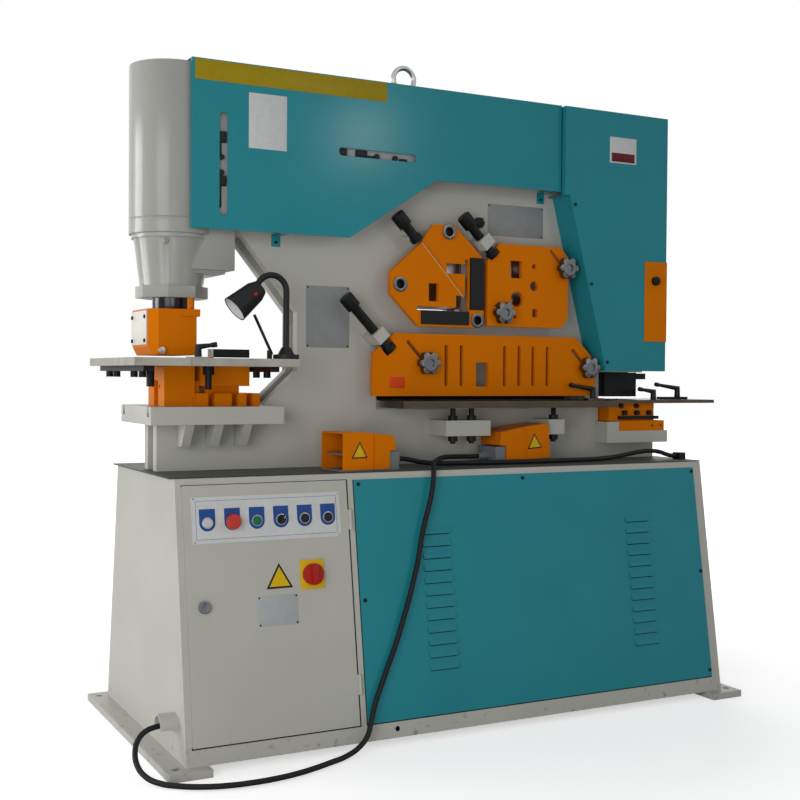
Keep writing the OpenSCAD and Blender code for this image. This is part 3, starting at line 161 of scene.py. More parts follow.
def two_tones(tree, where, patch, tone, dark):
    """Colour that drifts between a tone and a darker one, in patches of the given size."""
    drift = add(tree, "ShaderNodeTexNoise", {"Vector": where, "Scale": 1 / patch, "Detail": 4})
    ramp = add(tree, "ShaderNodeValToRGB", {"Fac": drift.outputs["Fac"]})
    low, high = ramp.color_ramp.elements
    low.position = 0.35
    high.position = 0.7
    low.color = (*[c * dark for c in tone], 1)
    high.color = (*tone, 1)
    return ramp.outputs["Color"]


def floor_scuffs(tree, where, paint, reach):
    """Paint with grey-brown scuffs and splashes that grow denser towards the floor."""
    # Boot marks and dried splashes are about 30 mm wide
    mark = 29.4 * MM
    densest = 0.75
    dirt = (*linear("#6d665a"), 1)
    height = add(tree, "ShaderNodeSeparateXYZ", {"Vector": where}).outputs["Z"]
    low = add(
        tree,
        "ShaderNodeMapRange",
        {"Value": height, "From Min": 0, "From Max": reach, "To Min": densest, "To Max": 0},
    )
    marks = add(
        tree,
        "ShaderNodeTexNoise",
        {"Vector": where, "Scale": 1 / mark, "Detail": 5, "Roughness": 0.6},
    )
    spots = add(
        tree,
        "ShaderNodeMapRange",
        {"Value": marks.outputs["Fac"], "From Min": 0.6, "From Max": 0.68},
    )
    share = add(
        tree,
        "ShaderNodeMath",
        {0: low.outputs["Result"], 1: spots.outputs["Result"]},
        operation="MULTIPLY",
    )
    # Inputs 6 and 7 of a colour mix are its two colours, and output 2 is the mixed one
    mix = add(tree, "ShaderNodeMix", {0: share.outputs[0], 6: paint, 7: dirt}, data_type="RGBA")
    return mix.outputs[2]


def skin(tree, shader, grain, edge, strength, depth):
    """Rounds the edges in the shading and presses a shallow grain into the surface."""
    rounded = add(tree, "ShaderNodeBevel", {"Radius": edge}, samples=4)
    bump = add(
        tree,
        "ShaderNodeBump",
        {
            "Height": grain.outputs["Fac"],
            "Normal": rounded.outputs["Normal"],
            "Strength": strength,
            "Distance": depth,
        },
    )
    tree.links.new(bump.outputs["Normal"], shader.inputs["Normal"])


def sprayed_paint(name, tone, rough, dark=0.93, shine=0.2, scuffs=0.0):
    """Sprayed enamel on plate steel: an even coat with faint grain and softly rounded edges."""
    material, tree, shader, where = new_material(name)
    # A coat sprayed by hand drifts in tone over about a quarter of a metre
    paint = two_tones(tree, where, 250 * MM, tone, dark)
    if scuffs:
        paint = floor_scuffs(tree, where, paint, scuffs)
    tree.links.new(paint, shader.inputs["Base Color"])
    # Real spray grain is about 1 mm wide, too fine to show, so it is drawn at the coarser peel size
    grain = add(tree, "ShaderNodeTexNoise", {"Vector": where, "Scale": 1 / sizes().peel, "Detail": 2})
    skin(tree, shader, grain, sizes().edge, 0.05, 0.4 * MM)
    shader.inputs["Roughness"].default_value = rough
    shader.inputs["Specular IOR Level"].default_value = shine
    return material


def bright_steel(name, tone, rough, stretch, grit):
    """Machined metal: fine lines along one direction and darker marks of handling."""
    material, tree, shader, where = new_material(name)
    # Marks of hands and oil are about 70 mm wide
    tree.links.new(two_tones(tree, where, 71.4 * MM, tone, 0.78), shader.inputs["Base Color"])
    # Tool marks are about 0.2 mm apart, too fine to show, so they are drawn a few millimetres apart
    lines = add(tree, "ShaderNodeMapping", {"Vector": where, "Scale": stretch})
    marks = add(
        tree,
        "ShaderNodeTexNoise",
        {"Vector": lines.outputs["Vector"], "Scale": 1 / grit, "Detail": 3},
    )
    gloss = add(
        tree,
        "ShaderNodeMapRange",
        {"Value": marks.outputs["Fac"], "To Min": rough - 0.08, "To Max": rough + 0.1},
    )
    tree.links.new(gloss.outputs["Result"], shader.inputs["Roughness"])
    skin(tree, shader, marks, 1 * MM, 0.08, 0.3 * MM)
    shader.inputs["Metallic"].default_value = 1
    return material


def dull_black(name, tone, rough, grain, metal=0.0):
    """Black oxide, rubber or nylon: dark, with a fine grain that breaks the gloss."""
    material, tree, shader, where = new_material(name)
    # Dust and wear lighten it in patches about 33 mm wide
    tree.links.new(two_tones(tree, where, 33.3 * MM, tone, 0.7), shader.inputs["Base Color"])
    # The real grain is about 0.2 mm, too fine to show, so it is drawn 1 to 2 mm wide
    specks = add(tree, "ShaderNodeTexNoise", {"Vector": where, "Scale": 1 / grain, "Detail": 2})
    skin(tree, shader, specks, 0.8 * MM, 0.12, 0.3 * MM)
    shader.inputs["Roughness"].default_value = rough
    shader.inputs["Metallic"].default_value = metal
    shader.inputs["Specular IOR Level"].default_value = 0.22
    return material


def gloss_moulding(name, tone, rough=0.22):
    """Moulded plastic, printed film or enamel: even colour under a smooth clear skin."""
    material, tree, shader, where = new_material(name)
    # Flow marks and smears are about 25 mm wide
    tree.links.new(two_tones(tree, where, 25 * MM, tone, 0.92), shader.inputs["Base Color"])
    shader.inputs["Roughness"].default_value = rough
    shader.inputs["IOR"].default_value = 1.49
    shader.inputs["Specular IOR Level"].default_value = 0.18
    return material


# Each finish: its maker, its name, its colour or colour property, and its matched settings
FINISHES = {
    # Warm off-white with a soft gloss, scuffed grey near the floor
    "cream": (sprayed_paint, "cream sprayed enamel", "cream", dict(rough=0.3, scuffs=100 * MM)),
    # Deep blue-green, glossy enough for one soft highlight
    "teal": (sprayed_paint, "teal sprayed enamel", "teal", dict(rough=0.18, shine=0.15)),
    # Strong warm orange, its gloss held down so that no white veils it
    "orange": (sprayed_paint, "orange sprayed enamel", "orange", dict(rough=0.34, shine=0.06)),
    # Grey-white, darker than the frame's cream so as to paint shade on the brightly lit cylinder and casting,
    # with clear upright streaks of light on the round wall
    "cylinder": (sprayed_paint, "glossy cylinder enamel", "#a6a6a1", dict(rough=0.2, shine=0.35)),
    # Nearly white, a touch warmer than the signs; the whiteness is partly a painted highlight of the brightly
    # lit left face of the stripper
    "pale": (sprayed_paint, "pale cover enamel", "#e7e4db", dict(rough=0.3)),
    # Light peach orange, a painted highlight along the lit edge of a plate
    "painted_highlight_orange": (sprayed_paint, "rubbed orange enamel", "#efae72", dict(rough=0.3)),
    # Dark green-grey, matt, blotched by oil
    "tray": (sprayed_paint, "dark oiled tray paint", "tray", dict(rough=0.5, dark=0.7)),
    # Plain middle grey, matt
    "grey": (sprayed_paint, "grey machine paint", "#7b8083", dict(rough=0.5)),
    # Soft black with a dull metal sheen on the edges
    "black": (dull_black, "black oxide steel", "black", dict(rough=0.42, grain=2 * MM, metal=0.4)),
    # Flat black with hardly a highlight
    "rubber": (dull_black, "moulded black rubber", "#16181a", dict(rough=0.6, grain=1.5 * MM)),
    # Black with a broad, faint highlight
    "plastic": (dull_black, "moulded black nylon", "#191b1d", dict(rough=0.45, grain=1 * MM)),
    # Light warm grey with long grinding lines
    "steel": (
        bright_steel, "ground table steel", "#a9a59c", dict(rough=0.38, stretch=(0.06, 1, 1), grit=1.2 * MM),
    ),
    # Brown-grey under a film of oil, with rolling lines
    "oiled": (
        bright_steel, "oiled mill steel", "#584f44", dict(rough=0.42, stretch=(0.08, 1, 1), grit=1.5 * MM),
    ),
    # Bright, with rings round the axis that spread the highlight
    "turned": (
        bright_steel, "turned steel", "#b4b4b2", dict(rough=0.28, stretch=(1, 1, 8), grit=2 * MM),
    ),
    # Dark mirror-like steel with sharp upright reflections
    "ram": (
        bright_steel, "oiled ground ram steel", "#4a4c50", dict(rough=0.2, stretch=(1, 1, 10), grit=2 * MM),
    ),
    # Grey, softly mirrored and a little uneven
    "cast": (
        bright_steel, "polished cast aluminium", "#6f7173", dict(rough=0.26, stretch=(1, 1, 1), grit=4 * MM),
    ),
    # Clean cool white, half matt
    "white": (gloss_moulding, "white enamel", "white", dict(rough=0.4)),
    # Milky white with a sharp highlight
    "lens": (gloss_moulding, "moulded opal lens", "#c9cbcd", dict(rough=0.12)),
    # Bright signal yellow
    "yellow": (gloss_moulding, "yellow enamel", "yellow", dict(rough=0.35)),
    # Dull olive yellow, the even tone of a printed strip
    "mustard": (gloss_moulding, "mustard printed film", "#a38d0e", dict(rough=0.35)),
    # Thin pale violet line on the white plate
    "line": (gloss_moulding, "pale violet enamel", "#8288ac", dict(rough=0.4)),
    # Clear middle blue
    "blue": (gloss_moulding, "blue enamel", "blue", dict(rough=0.35)),
    # Deep red with a clear highlight
    "red": (gloss_moulding, "red moulded plastic", "red", dict()),
    # Lighter, pinker red than the switch knob
    "signal": (gloss_moulding, "signal red moulded plastic", "#c9403a", dict()),
    # Dark wine red field of a sign
    "maroon": (gloss_moulding, "dark red enamel", "#641219", dict(rough=0.4)),
    # Orange-red that stands out a little from the guard
    "sticker": (gloss_moulding, "orange-red printed film", "#dd4a16", dict(rough=0.4)),
    # Dark bottle green with a clear highlight
    "green": (gloss_moulding, "green moulded plastic", "green", dict()),
    # Pale silver grey without mirror, because its skin is the lacquer
    "etched": (gloss_moulding, "lacquered aluminium plate", "#b2b5b6", dict(rough=0.42)),
    # The same plate in a darker grey
    "darker_etched": (gloss_moulding, "dusty lacquered aluminium plate", "#979a9a", dict(rough=0.45)),
}

MADE = {}


def finish_of(name):
    """The material of that finish, made once."""
    if name not in MADE:
        maker, title, tint, settings = FINISHES[name]
        tone = linear(tint) if tint.startswith("#") else getattr(colours(), tint)
        MADE[name] = maker(title, tone, **settings)
    return MADE[name]


# Mesh helpers


def deselect():
    """Leaves edit mode and selects nothing."""
    if bpy.context.object and bpy.context.object.mode != "OBJECT":
        bpy.ops.object.mode_set(mode="OBJECT")
    bpy.ops.object.select_all(action="DESELECT")


def pick(obj):
    """Selects that object alone and makes it active."""
    deselect()
    bpy.context.view_layer.objects.active = obj
    obj.select_set(True)


def settle(obj, turn=None):
    """Puts the object's place, turn and scale into its mesh, moved on by a further turn."""
    pick(obj)
    if turn is not None:
        obj.matrix_world = turn @ obj.matrix_world
    bpy.ops.object.transform_apply(location=True, rotation=True, scale=True)
    return obj


def modify(obj, kind, **settings):
    """Adds a modifier and applies it."""
    pick(obj)
    step = obj.modifiers.new("step", kind)
    for key, value in settings.items():
        setattr(step, key, value)
    bpy.ops.object.modifier_apply(modifier=step.name)
    return obj


def round_edges(obj, width, steps=2, angle=30):
    """Bevels the edges that turn by more than the angle."""
    if width:
        limit = math.radians(angle)
        modify(obj, "BEVEL", width=width, segments=steps, limit_method="ANGLE", angle_limit=limit)
    return obj


def block(lo, hi, edge=0.0):
    """A cube primitive between two corners, with rounded edges."""
    deselect()
    middle = [(a + b) / 2 for a, b in zip(lo, hi)]
    bpy.ops.mesh.primitive_cube_add(size=1, location=middle)
    obj = bpy.context.object
    obj.scale = [b - a for a, b in zip(lo, hi)]
    return round_edges(settle(obj), edge)


def round_bar(start, end, r, r_end=None, sides=32, edge=0.0):
    """A cylinder or cone primitive from one point to another, with rounded edges."""
    deselect()
    a, b = Vector(start), Vector(end)
    bpy.ops.mesh.primitive_cone_add(
        vertices=sides, radius1=r, radius2=r if r_end is None else r_end, depth=(b - a).length
    )
    turn = (b - a).to_track_quat("Z", "Y").to_matrix().to_4x4()
    obj = settle(bpy.context.object, Matrix.Translation((a + b) / 2) @ turn)
    return round_edges(obj, edge)


def prism(points, depth, edge=0.0):
    """A flat prism with the given outline in x and z, from y = -depth to 0."""
    deselect()
    bpy.ops.mesh.primitive_circle_add(vertices=len(points), radius=1, fill_type="NGON")
    obj = bpy.context.object
    for v, (x, z) in zip(obj.data.vertices, points):
        v.co = (x, 0, z)
    bpy.ops.object.mode_set(mode="EDIT")
    bpy.ops.mesh.select_all(action="SELECT")
    bpy.ops.mesh.extrude_region_move(TRANSFORM_OT_translate={"value": (0, -depth, 0)})
    bpy.ops.mesh.select_all(action="SELECT")
    bpy.ops.mesh.normals_make_consistent(inside=False)
    bpy.ops.object.mode_set(mode="OBJECT")
    return round_edges(obj, edge)


def union(obj, *others):
    """Joins the others to the first object in one mesh."""
    pick(obj)
    for other in others:
        other.select_set(True)
    bpy.ops.object.join()
    return obj


def cut(obj, tool):
    """Takes the tool's shape out of the object."""
    modify(obj, "BOOLEAN", operation="DIFFERENCE", object=tool, solver="EXACT")
    bpy.data.objects.remove(tool)
    return obj


def own_copy(obj, name):
    """A copy of the object with its own mesh."""
    copy = bpy.data.objects.new(name, obj.data.copy())
    bpy.context.scene.collection.objects.link(copy)
    return copy


def piece(obj, name, finish, body, angle=35):
    """Names a finished piece, gives it its finish and lets it ride on its body."""
    obj.name = name
    obj.data.name = name
    obj.data.materials.clear()
    obj.data.materials.append(finish_of(finish))
    pick(obj)
    bpy.ops.object.shade_smooth_by_angle(angle=math.radians(angle))
    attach(obj, body)
    return obj


def repeat(pattern, stem, turns, finish, bodies):
    """Numbered pieces copied from a pattern, one for each turn and its body; the pattern goes."""
    for i, (turn, body) in enumerate(zip(turns, bodies)):
        copy = settle(own_copy(pattern, stem), turn)
        piece(copy, f"{stem}_{i + 1}", finish, body)
    bpy.data.objects.remove(pattern)


# Operators

BODY_OF = {node: body for body, nodes in frame["record"]["behaviour"]["bodies"].items() for node in nodes}

PAINTED = {
    "cream": ["base_cabinet", "main_frame", "cabinet_door"],
    "cylinder": ["punch_cylinder", "cylinder_casting"],
    "teal": ["front_panel", "top_cover", "right_cover"],
    "orange": [
        "stripper", "die_holder", "angle_guard", "section_guard", "plate_guard", "notch_guard",
        "notch_holder", "foot_hoods",
    ],
    "tray": ["drip_tray"],
    "grey": ["beam_cylinder", "motor_pump", "swing_beam", "foot_bodies", "electric_plate"],
    "black": [
        "fasteners", "table_hardware", "upper_blades", "screw_angle", "screw_section", "screw_plate",
        "ruler_stop",
    ],
    "rubber": ["foot_cord", "rear_cord", "guard_pads"],
    "plastic": [
        "work_lamp", "selector_switch", "black_button_left", "black_button_right", "lever_punch",
        "lever_shear", "lever_notch_inner", "lever_notch_outer",
    ],
    "steel": ["punch_table", "pedal_left", "pedal_right"],
    "oiled": ["shear_table", "notch_table"],
    "turned": ["lower_tools", "lifting_eye", "punch", "beam_plunger"],
    "ram": ["ram"],
    "cast": ["knob_plate_left", "knob_plate_right", "knob_section_left", "knob_section_right", "door_lock"],
    "white": ["control_plate"],
    "red": ["switch_knob", "lamp_switch"],
    "signal": ["stop_button"],
    "green": ["green_button"],
}


class PaintSolids(bpy.types.Operator):
    """Give every CAD node its finish"""

    bl_idname = "ironworker.paint_solids"
    bl_label = "Paint solids"

    def execute(self, context):
        bare = set(frame["nodes"]) - {name for names in PAINTED.values() for name in names}
        if bare:
            raise RuntimeError(f"No finish is given for {sorted(bare)}")
        for finish, names in PAINTED.items():
            for name in names:
                obj = frame["nodes"][name]
                obj.data.materials.clear()
                obj.data.materials.append(finish_of(finish))
        return {"FINISHED"}


# Turned, cast and bent nodes that are shown smooth, with the rounding of their edges in metres
SMOOTHED = {
    "punch_cylinder": 0.004, "cylinder_casting": 0.006, "lifting_eye": 0.0, "work_lamp": 0.0015, "ram": 0.001,
    "stop_button": 0.002, "green_button": 0.002, "black_button_left": 0.002, "black_button_right": 0.002,
    "switch_knob": 0.002, "door_lock": 0.001, "screw_angle": 0.002, "screw_section": 0.002,
    "screw_plate": 0.002, "lower_tools": 0.0, "punch": 0.0, "table_hardware": 0.0, "fasteners": 0.001,
    "lamp_switch": 0.001,
}


class SmoothSolids(bpy.types.Operator):
    """Smooth copies, with rounded edges, of the turned, cast and bent pieces"""

    bl_idname = "ironworker.smooth_solids"
    bl_label = "Smooth solids"

    def execute(self, context):
        weld = 0.05 * MM
        for node, edge in SMOOTHED.items():
            solid = frame["nodes"][node]
            copy = own_copy(solid, node + "_smooth")
            copy.matrix_world = solid.matrix_world
            settle(copy)
            bpy.ops.object.mode_set(mode="EDIT")
            bpy.ops.mesh.select_all(action="SELECT")
            bpy.ops.mesh.remove_doubles(threshold=weld)
            bpy.ops.mesh.dissolve_limited(angle_limit=math.radians(1))
            bpy.ops.object.mode_set(mode="OBJECT")
            pick(round_edges(copy, edge, steps=3, angle=40))
            bpy.ops.object.shade_smooth_by_angle(angle=math.radians(38))
            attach(copy, BODY_OF[node])
            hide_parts(node)
        return {"FINISHED"}


class BarePlates(bpy.types.Operator):
    """Bare signs, strips and data plates on the covers, frame and door"""

    bl_idname = "ironworker.bare_plates"
    bl_label = "Bare plates"

    def execute(self, context):
        t = sizes().plate
        signs = {
            "cover_strip": ("mustard", COVER_FACE, (-0.861, -0.217, 2.001, 2.062), "teal_paint"),
            "cover_sign": ("white", COVER_FACE, (-0.690, -0.565, 1.810, 1.979), "control_face"),
            "right_sign": ("white", RIGHT_COVER_FACE, (0.663, 0.781, 1.881, 1.973), "control_face"),
            "right_sign_field": ("maroon", RIGHT_COVER_FACE - t, (0.671, 0.773, 1.886, 1.917), "red_plastic"),
            "guard_sticker": ("sticker", GUARD_FACE, (-0.190, -0.133, 1.075, 1.112), "red_plastic"),
        }
        for name, sides in FRAME_PLATES.items():
            signs[name] = ("darker_etched", FRAME_FACE, sides, "machined_steel")
        for name, (finish, face, sides, slot) in signs.items():
            body = BODY_OF["plate_guard"] if name == "guard_sticker" else "machine"
            piece(self.sheet(face, sides, t), name, finish, body)
        data = settle(self.sheet(DOOR_FACE, DOOR_PLATE, t), FRONT)
        piece(data, "door_plate", "etched", "door")
        return {"FINISHED"}

    def sheet(self, face, sides, t):
        left, right, foot, head = sides
        return block((left, face - t, foot), (right, face, head), t / 3)


class Seals(bpy.types.Operator):
    """Rubber-black strips of painted shade in the gaps round the door and along the foot and left edge of the
    louvred panel
    """

    bl_idname = "ironworker.seals"
    bl_label = "Seals"

    def execute(self, context):
        outside, inside = -0.0006, -0.0001
        door_left, door_right = -0.953, -0.4288
        hinge_side = door_right - 0.005
        panel_left, panel_right = -0.408, 0.934
        foot, head = 0.0506, SLOPE - 0.020
        door_foot, door_head = foot - 0.004, head + 0.002
        panel_foot = foot - 0.0035
        gap_shades = {
            "door_seal_right": (hinge_side, door_right, door_foot, door_head),
            "door_seal_foot": (door_left, hinge_side, door_foot, foot + 0.003),
            "door_seal_head": (door_left, hinge_side, head - 0.003, door_head),
            "panel_seal_foot": (panel_left, panel_right, panel_foot, foot + 0.003),
            "panel_seal_left": (panel_left - 0.003, panel_left + 0.003, panel_foot, head),
        }
        # Each strip is painted shade: a dark band laid where the gap beside the door or panel falls in
        # shadow, finished as black rubber
        for name, (left, right, low, high) in gap_shades.items():
            strip = block((left, outside, low), (right, inside, high), 0.0002)
            piece(settle(strip, FRONT), name, "rubber", "machine")
        return {"FINISHED"}


class LouvreShadowLines(bpy.types.Operator):
    """Dark lines of painted shadow on the panel just under the lips of its louvres"""

    bl_idname = "ironworker.louvre_slits"
    bl_label = "Louvre slits"

    def execute(self, context):
        sheet, half, high = -0.0022, 0.047, 0.0028
        lowest, pitch, count = 0.1866, 0.038, 12
        # Each line is painted shadow: a thin dark strip on the sheet just under a louvre's lip, where the lip
        # shades the panel
        slit = block((-half, sheet - 0.0004, -high), (half, sheet + 0.0002, 0.0002), 0.0002)
        shadow_lines = [
            settle(own_copy(slit, "slit"), Matrix.Translation((x, 0, lowest + i * pitch)))
            for x in (-0.133, 0.662)
            for i in range(count)
        ]
        bpy.data.objects.remove(slit)
        piece(settle(union(*shadow_lines), FRONT), "louvre_slits", "rubber", "machine")
        return {"FINISHED"}


class Rivets(bpy.types.Operator):
    """Small rivets at the corners of the data plates"""

    bl_idname = "ironworker.rivets"
    bl_label = "Plate rivets"

    def execute(self, context):
        t = sizes().plate
        turns = []
        for sides in FRAME_PLATES.values():
            turns += self.corners(sides, FRAME_FACE - t, 0.006)
        bodies = ["machine"] * len(turns)
        turns += [FRONT @ corner for corner in self.corners(DOOR_PLATE, DOOR_FACE - t, 0.005)]
        bodies += ["door"] * (len(turns) - len(bodies))
        dome = round_bar((0, 0, 0), (0, -0.0014, 0), 0.003, 0.0018, 16)
        repeat(dome, "rivet", turns, "black", bodies)
        return {"FINISHED"}

    def corners(self, sides, face, margin):
        left, right, foot, head = sides
        return [
            Matrix.Translation((x, face, z))
            for x in (left + margin, right - margin)
            for z in (foot + margin, head - margin)
        ]


def triangle(width, height, gap=0.0):
    """Outline of an upright triangle over its base line, drawn in by a gap."""
    foot = width / 2 - gap * 1.7
    return [(-foot, gap), (foot, gap), (0, height - gap * 2)]


class Triangles(bpy.types.Operator):
    """Bare black-edged yellow triangles on the door and the foot switch hoods"""

    bl_idname = "ironworker.triangles"
    bl_label = "Bare triangles"

    def execute(self, context):
        t = sizes().plate
        tray_top = 0.819
        half_turn = Matrix.Rotation(math.radians(180), 4, "Z")
        left_hood = Matrix.Translation((-0.432, -0.294, tray_top)) @ Matrix.Rotation(math.radians(8), 4, "Z")
        right_hood = (
            Matrix.Translation((0.187, 0, tray_top))
            @ Matrix.Rotation(math.radians(-4), 4, "Y")
            @ Matrix.Translation((0.216, -0.072, 0))
            @ half_turn
        )
        small = (0.060, 0.053)
        spots = {
            "door": (FRONT @ Matrix.Translation((-0.667, DOOR_FACE, SLOPE - 0.330)), 0.084, 0.074),
            "left_hood": (left_hood @ Matrix.Translation((0.061, 0, 0.040)), *small),
            "right_hood": (right_hood @ Matrix.Translation((0.061, 0.125, 0.040)) @ half_turn, *small),
        }
        for name, (turn, width, height) in spots.items():
            body = "door" if name == "door" else "machine"
            back = settle(prism(triangle(width, height), t, t / 3), turn)
            piece(back, name + "_triangle_edge", "plastic", body)
            front = prism(triangle(width, height, width * 0.07), t)
            settle(front, turn @ Matrix.Translation((0, -t, 0)))
            piece(front, name + "_triangle", "yellow", body)
        return {"FINISHED"}


class Controls(bpy.types.Operator):
    """Blue shields, chrome rings, lamp lens and switch plate on the door"""

    bl_idname = "ironworker.controls"
    bl_label = "Door controls"

    def execute(self, context):
        first, pitch, count = -0.880, 0.0756, 6
        row = SLOPE - 0.129
        places = [first + pitch * i for i in range(count)]
        turns = [FRONT @ Matrix.Translation((x, SHIELD_FACE, row)) for x in places]
        repeat(self.shield(), "button_shield", turns, "blue", ["door"] * count)
        repeat(self.ring(), "button_ring", turns, "turned", ["door"] * count)
        lens = round_bar((first, -0.0084, row), (first, -0.019, row), 0.0156, 0.0128, 48, 0.003)
        piece(settle(lens, FRONT), "lamp_lens", "lens", "door")
        selector = Matrix.Translation((places[3], -0.0144, row)) @ Matrix.Rotation(math.radians(40), 4, "Y")
        mark = block((-0.001, -0.0125, 0.003), (0.001, -0.0118, 0.012), 0.0002)
        piece(settle(mark, FRONT @ selector), "selector_mark", "white", "selector_switch")
        self.frame_line()
        self.switch_plate()
        return {"FINISHED"}

    def shield(self):
        half, head, hole = 0.024, 0.040, 0.0163
        arc = [math.pi * i / 24 for i in range(25)]
        bow = [(-half * math.cos(a), -half * math.sin(a)) for a in arc]
        plate = prism([(-half, head), *bow, (half, head)], sizes().plate)
        return cut(plate, round_bar((0, -0.02, 0), (0, 0.02, 0), hole, sides=48))

    def ring(self):
        outer, inner, high = 0.0165, 0.0136, 0.0034
        ring = round_bar((0, 0, 0), (0, -high, 0), outer, sides=48)
        cut(ring, round_bar((0, 0.01, 0), (0, -0.02, 0), inner, sides=48))
        return round_edges(ring, 0.0008)

    def frame_line(self):
        left, right, foot, head = -0.914, -0.472, SLOPE - 0.177, SLOPE - 0.065
        wide = 0.0014
        line = block((left, CONTROL_FACE - sizes().plate / 2, foot), (right, CONTROL_FACE, head))
        cut(line, block((left + wide, -0.02, foot + wide), (right - wide, 0.02, head - wide)))
        piece(settle(line, FRONT), "plate_line", "line", "door")
        screw = round_bar((0, 0, 0), (0, -0.002, 0), 0.0036, 0.0026, 20, 0.0005)
        turns = [
            FRONT @ Matrix.Translation((x, CONTROL_FACE, z))
            for z in (foot - 0.006, head + 0.006)
            for x in (left - 0.005, right + 0.005)
        ]
        repeat(screw, "plate_screw", turns, "turned", ["door"] * len(turns))

    def switch_plate(self):
        x, z = -0.562, SLOPE - 0.296
        across, up, hole = 0.0384, 0.0434, 0.0132
        front, back = -0.0053, -0.00295
        plate = block((x - across, front, z - up), (x + across, back, z + up), 0.0004)
        cut(plate, round_bar((x, -0.02, z), (x, 0.02, z), hole, sides=40))
        piece(settle(plate, FRONT), "switch_plate", "yellow", "door")


class PunchTrim(bpy.types.Operator):
    """Side cover, screws and domed bolt of the stripper, plug of the casting and bracket of the ruler"""

    bl_idname = "ironworker.punch_trim"
    bl_label = "Punch end trim"

    def execute(self, context):
        left, right = -0.9885, -0.984
        # The side cover is a real plate with four screws, and its near-white tone is partly a painted
        # highlight on the lit left face
        cover = block((left, -0.0815, 1.2045), (right, 0.0815, 1.3075), 0.0006)
        piece(cover, "stripper_cover", "pale", "machine")
        screw = round_bar((left + 0.0001, 0, 0), (left - 0.0041, 0, 0), 0.0060, 0.0056, 24, 0.0004)
        turns = [Matrix.Translation((0, y, z)) for z in (1.217, 1.289) for y in (-0.069, 0.069)]
        repeat(screw, "stripper_screw", turns, "black", ["machine"] * len(turns))
        bolt = round_bar((-0.950, -0.112, 1.187), (-0.950, -0.1192, 1.187), 0.0134, 0.0118, 32, 0.002)
        piece(bolt, "stripper_bolt", "turned", "machine")
        axis, out = Vector((-0.885, 0, 1.516)), Vector((-0.454, -0.891, 0))
        collar = round_bar(axis + out * 0.106, axis + out * 0.121, 0.012, 0.0105, 32, 0.002)
        nipple = round_bar(axis + out * 0.118, axis + out * 0.128, 0.0065, 0.0045, 24, 0.001)
        piece(union(collar, nipple), "casting_plug", "cylinder", "machine")
        front, back, table = -0.1883, -0.1537, 1.1641
        foot = block((-0.8873, front, table), (-0.8127, back, 1.1683), 0.0006)
        lip = block((-0.8193, front, table), (-0.8127, back, 1.1923), 0.0006)
        piece(union(foot, lip), "ruler_bracket", "cream", "ruler_stop")
        return {"FINISHED"}


class Bushings(bpy.types.Operator):
    """Steel bushings with dark bores in the angle guard, and a painted highlight and a painted shadow along
    the seam between its two plates
    """

    bl_idname = "ironworker.bushings"
    bl_label = "Bushings"

    def execute(self, context):
        body = BODY_OF["angle_guard"]
        turns = [Matrix.Translation((x, 0, z)) for x, z in ((0.030, 1.599), (-0.154, 1.417), (0.143, 1.305))]
        bodies = [body] * len(turns)
        ring = round_bar((0, -0.1296, 0), (0, -0.1346, 0), 0.0254, sides=48)
        cut(ring, round_bar((0, -0.1, 0), (0, -0.15, 0), 0.0146, sides=48))
        round_edges(ring, 0.0012, angle=50)
        repeat(ring, "bushing_ring", turns, "cast", bodies)
        bore = round_bar((0, -0.1182, 0), (0, -0.1330, 0), 0.0149, sides=40)
        cut(bore, round_bar((0, -0.1192, 0), (0, -0.15, 0), 0.0140, sides=40))
        repeat(bore, "bushing_bore", turns, "black", bodies)
        start, end = Vector((-0.0715, 1.5605)), Vector((0.0915, 1.3835))
        across = Vector((0.7355, 0.6777))
        # The peach strip is a painted highlight along the lit edge of the seam, and the black strip beside it
        # is painted shadow in the gap
        for name, near, far, y, finish, slot in (
            ("seam_edge", -0.0038, -0.0002, -0.1299, "painted_highlight_orange", "orange_paint"),
            ("seam_shadow", 0.0004, 0.0042, -0.1237, "black", "black_oxide"),
        ):
            outline = [p + across * near for p in (start, end)] + [p + across * far for p in (end, start)]
            strip = settle(prism(outline, 0.0008), Matrix.Translation((0, y, 0)))
            piece(strip, name, finish, body)
        return {"FINISHED"}


# Slots of the top cover: middle, length and turn, and switch parts as shares of that length
COVER_SLOTS = {
    "upright": {
        "middle": (-0.770, 0, 1.754),
        "span": 0.312,
        "turn": 90,
        "boxes": ((0.18, 0.29), (0.61, 0.71)),
        "stems": ((0.29, 0.4), (0.71, 0.92)),
        "rollers": (0.43, 0.58),
    },
    "level": {
        "middle": (-0.247, 0, 1.828),
        "span": 0.278,
        "turn": 0,
        "boxes": ((0.01, 0.11), (0.23, 0.37)),
        "stems": ((0.37, 0.47), (0.8, 0.9)),
        "rollers": (0.50, 0.74),
    },
}


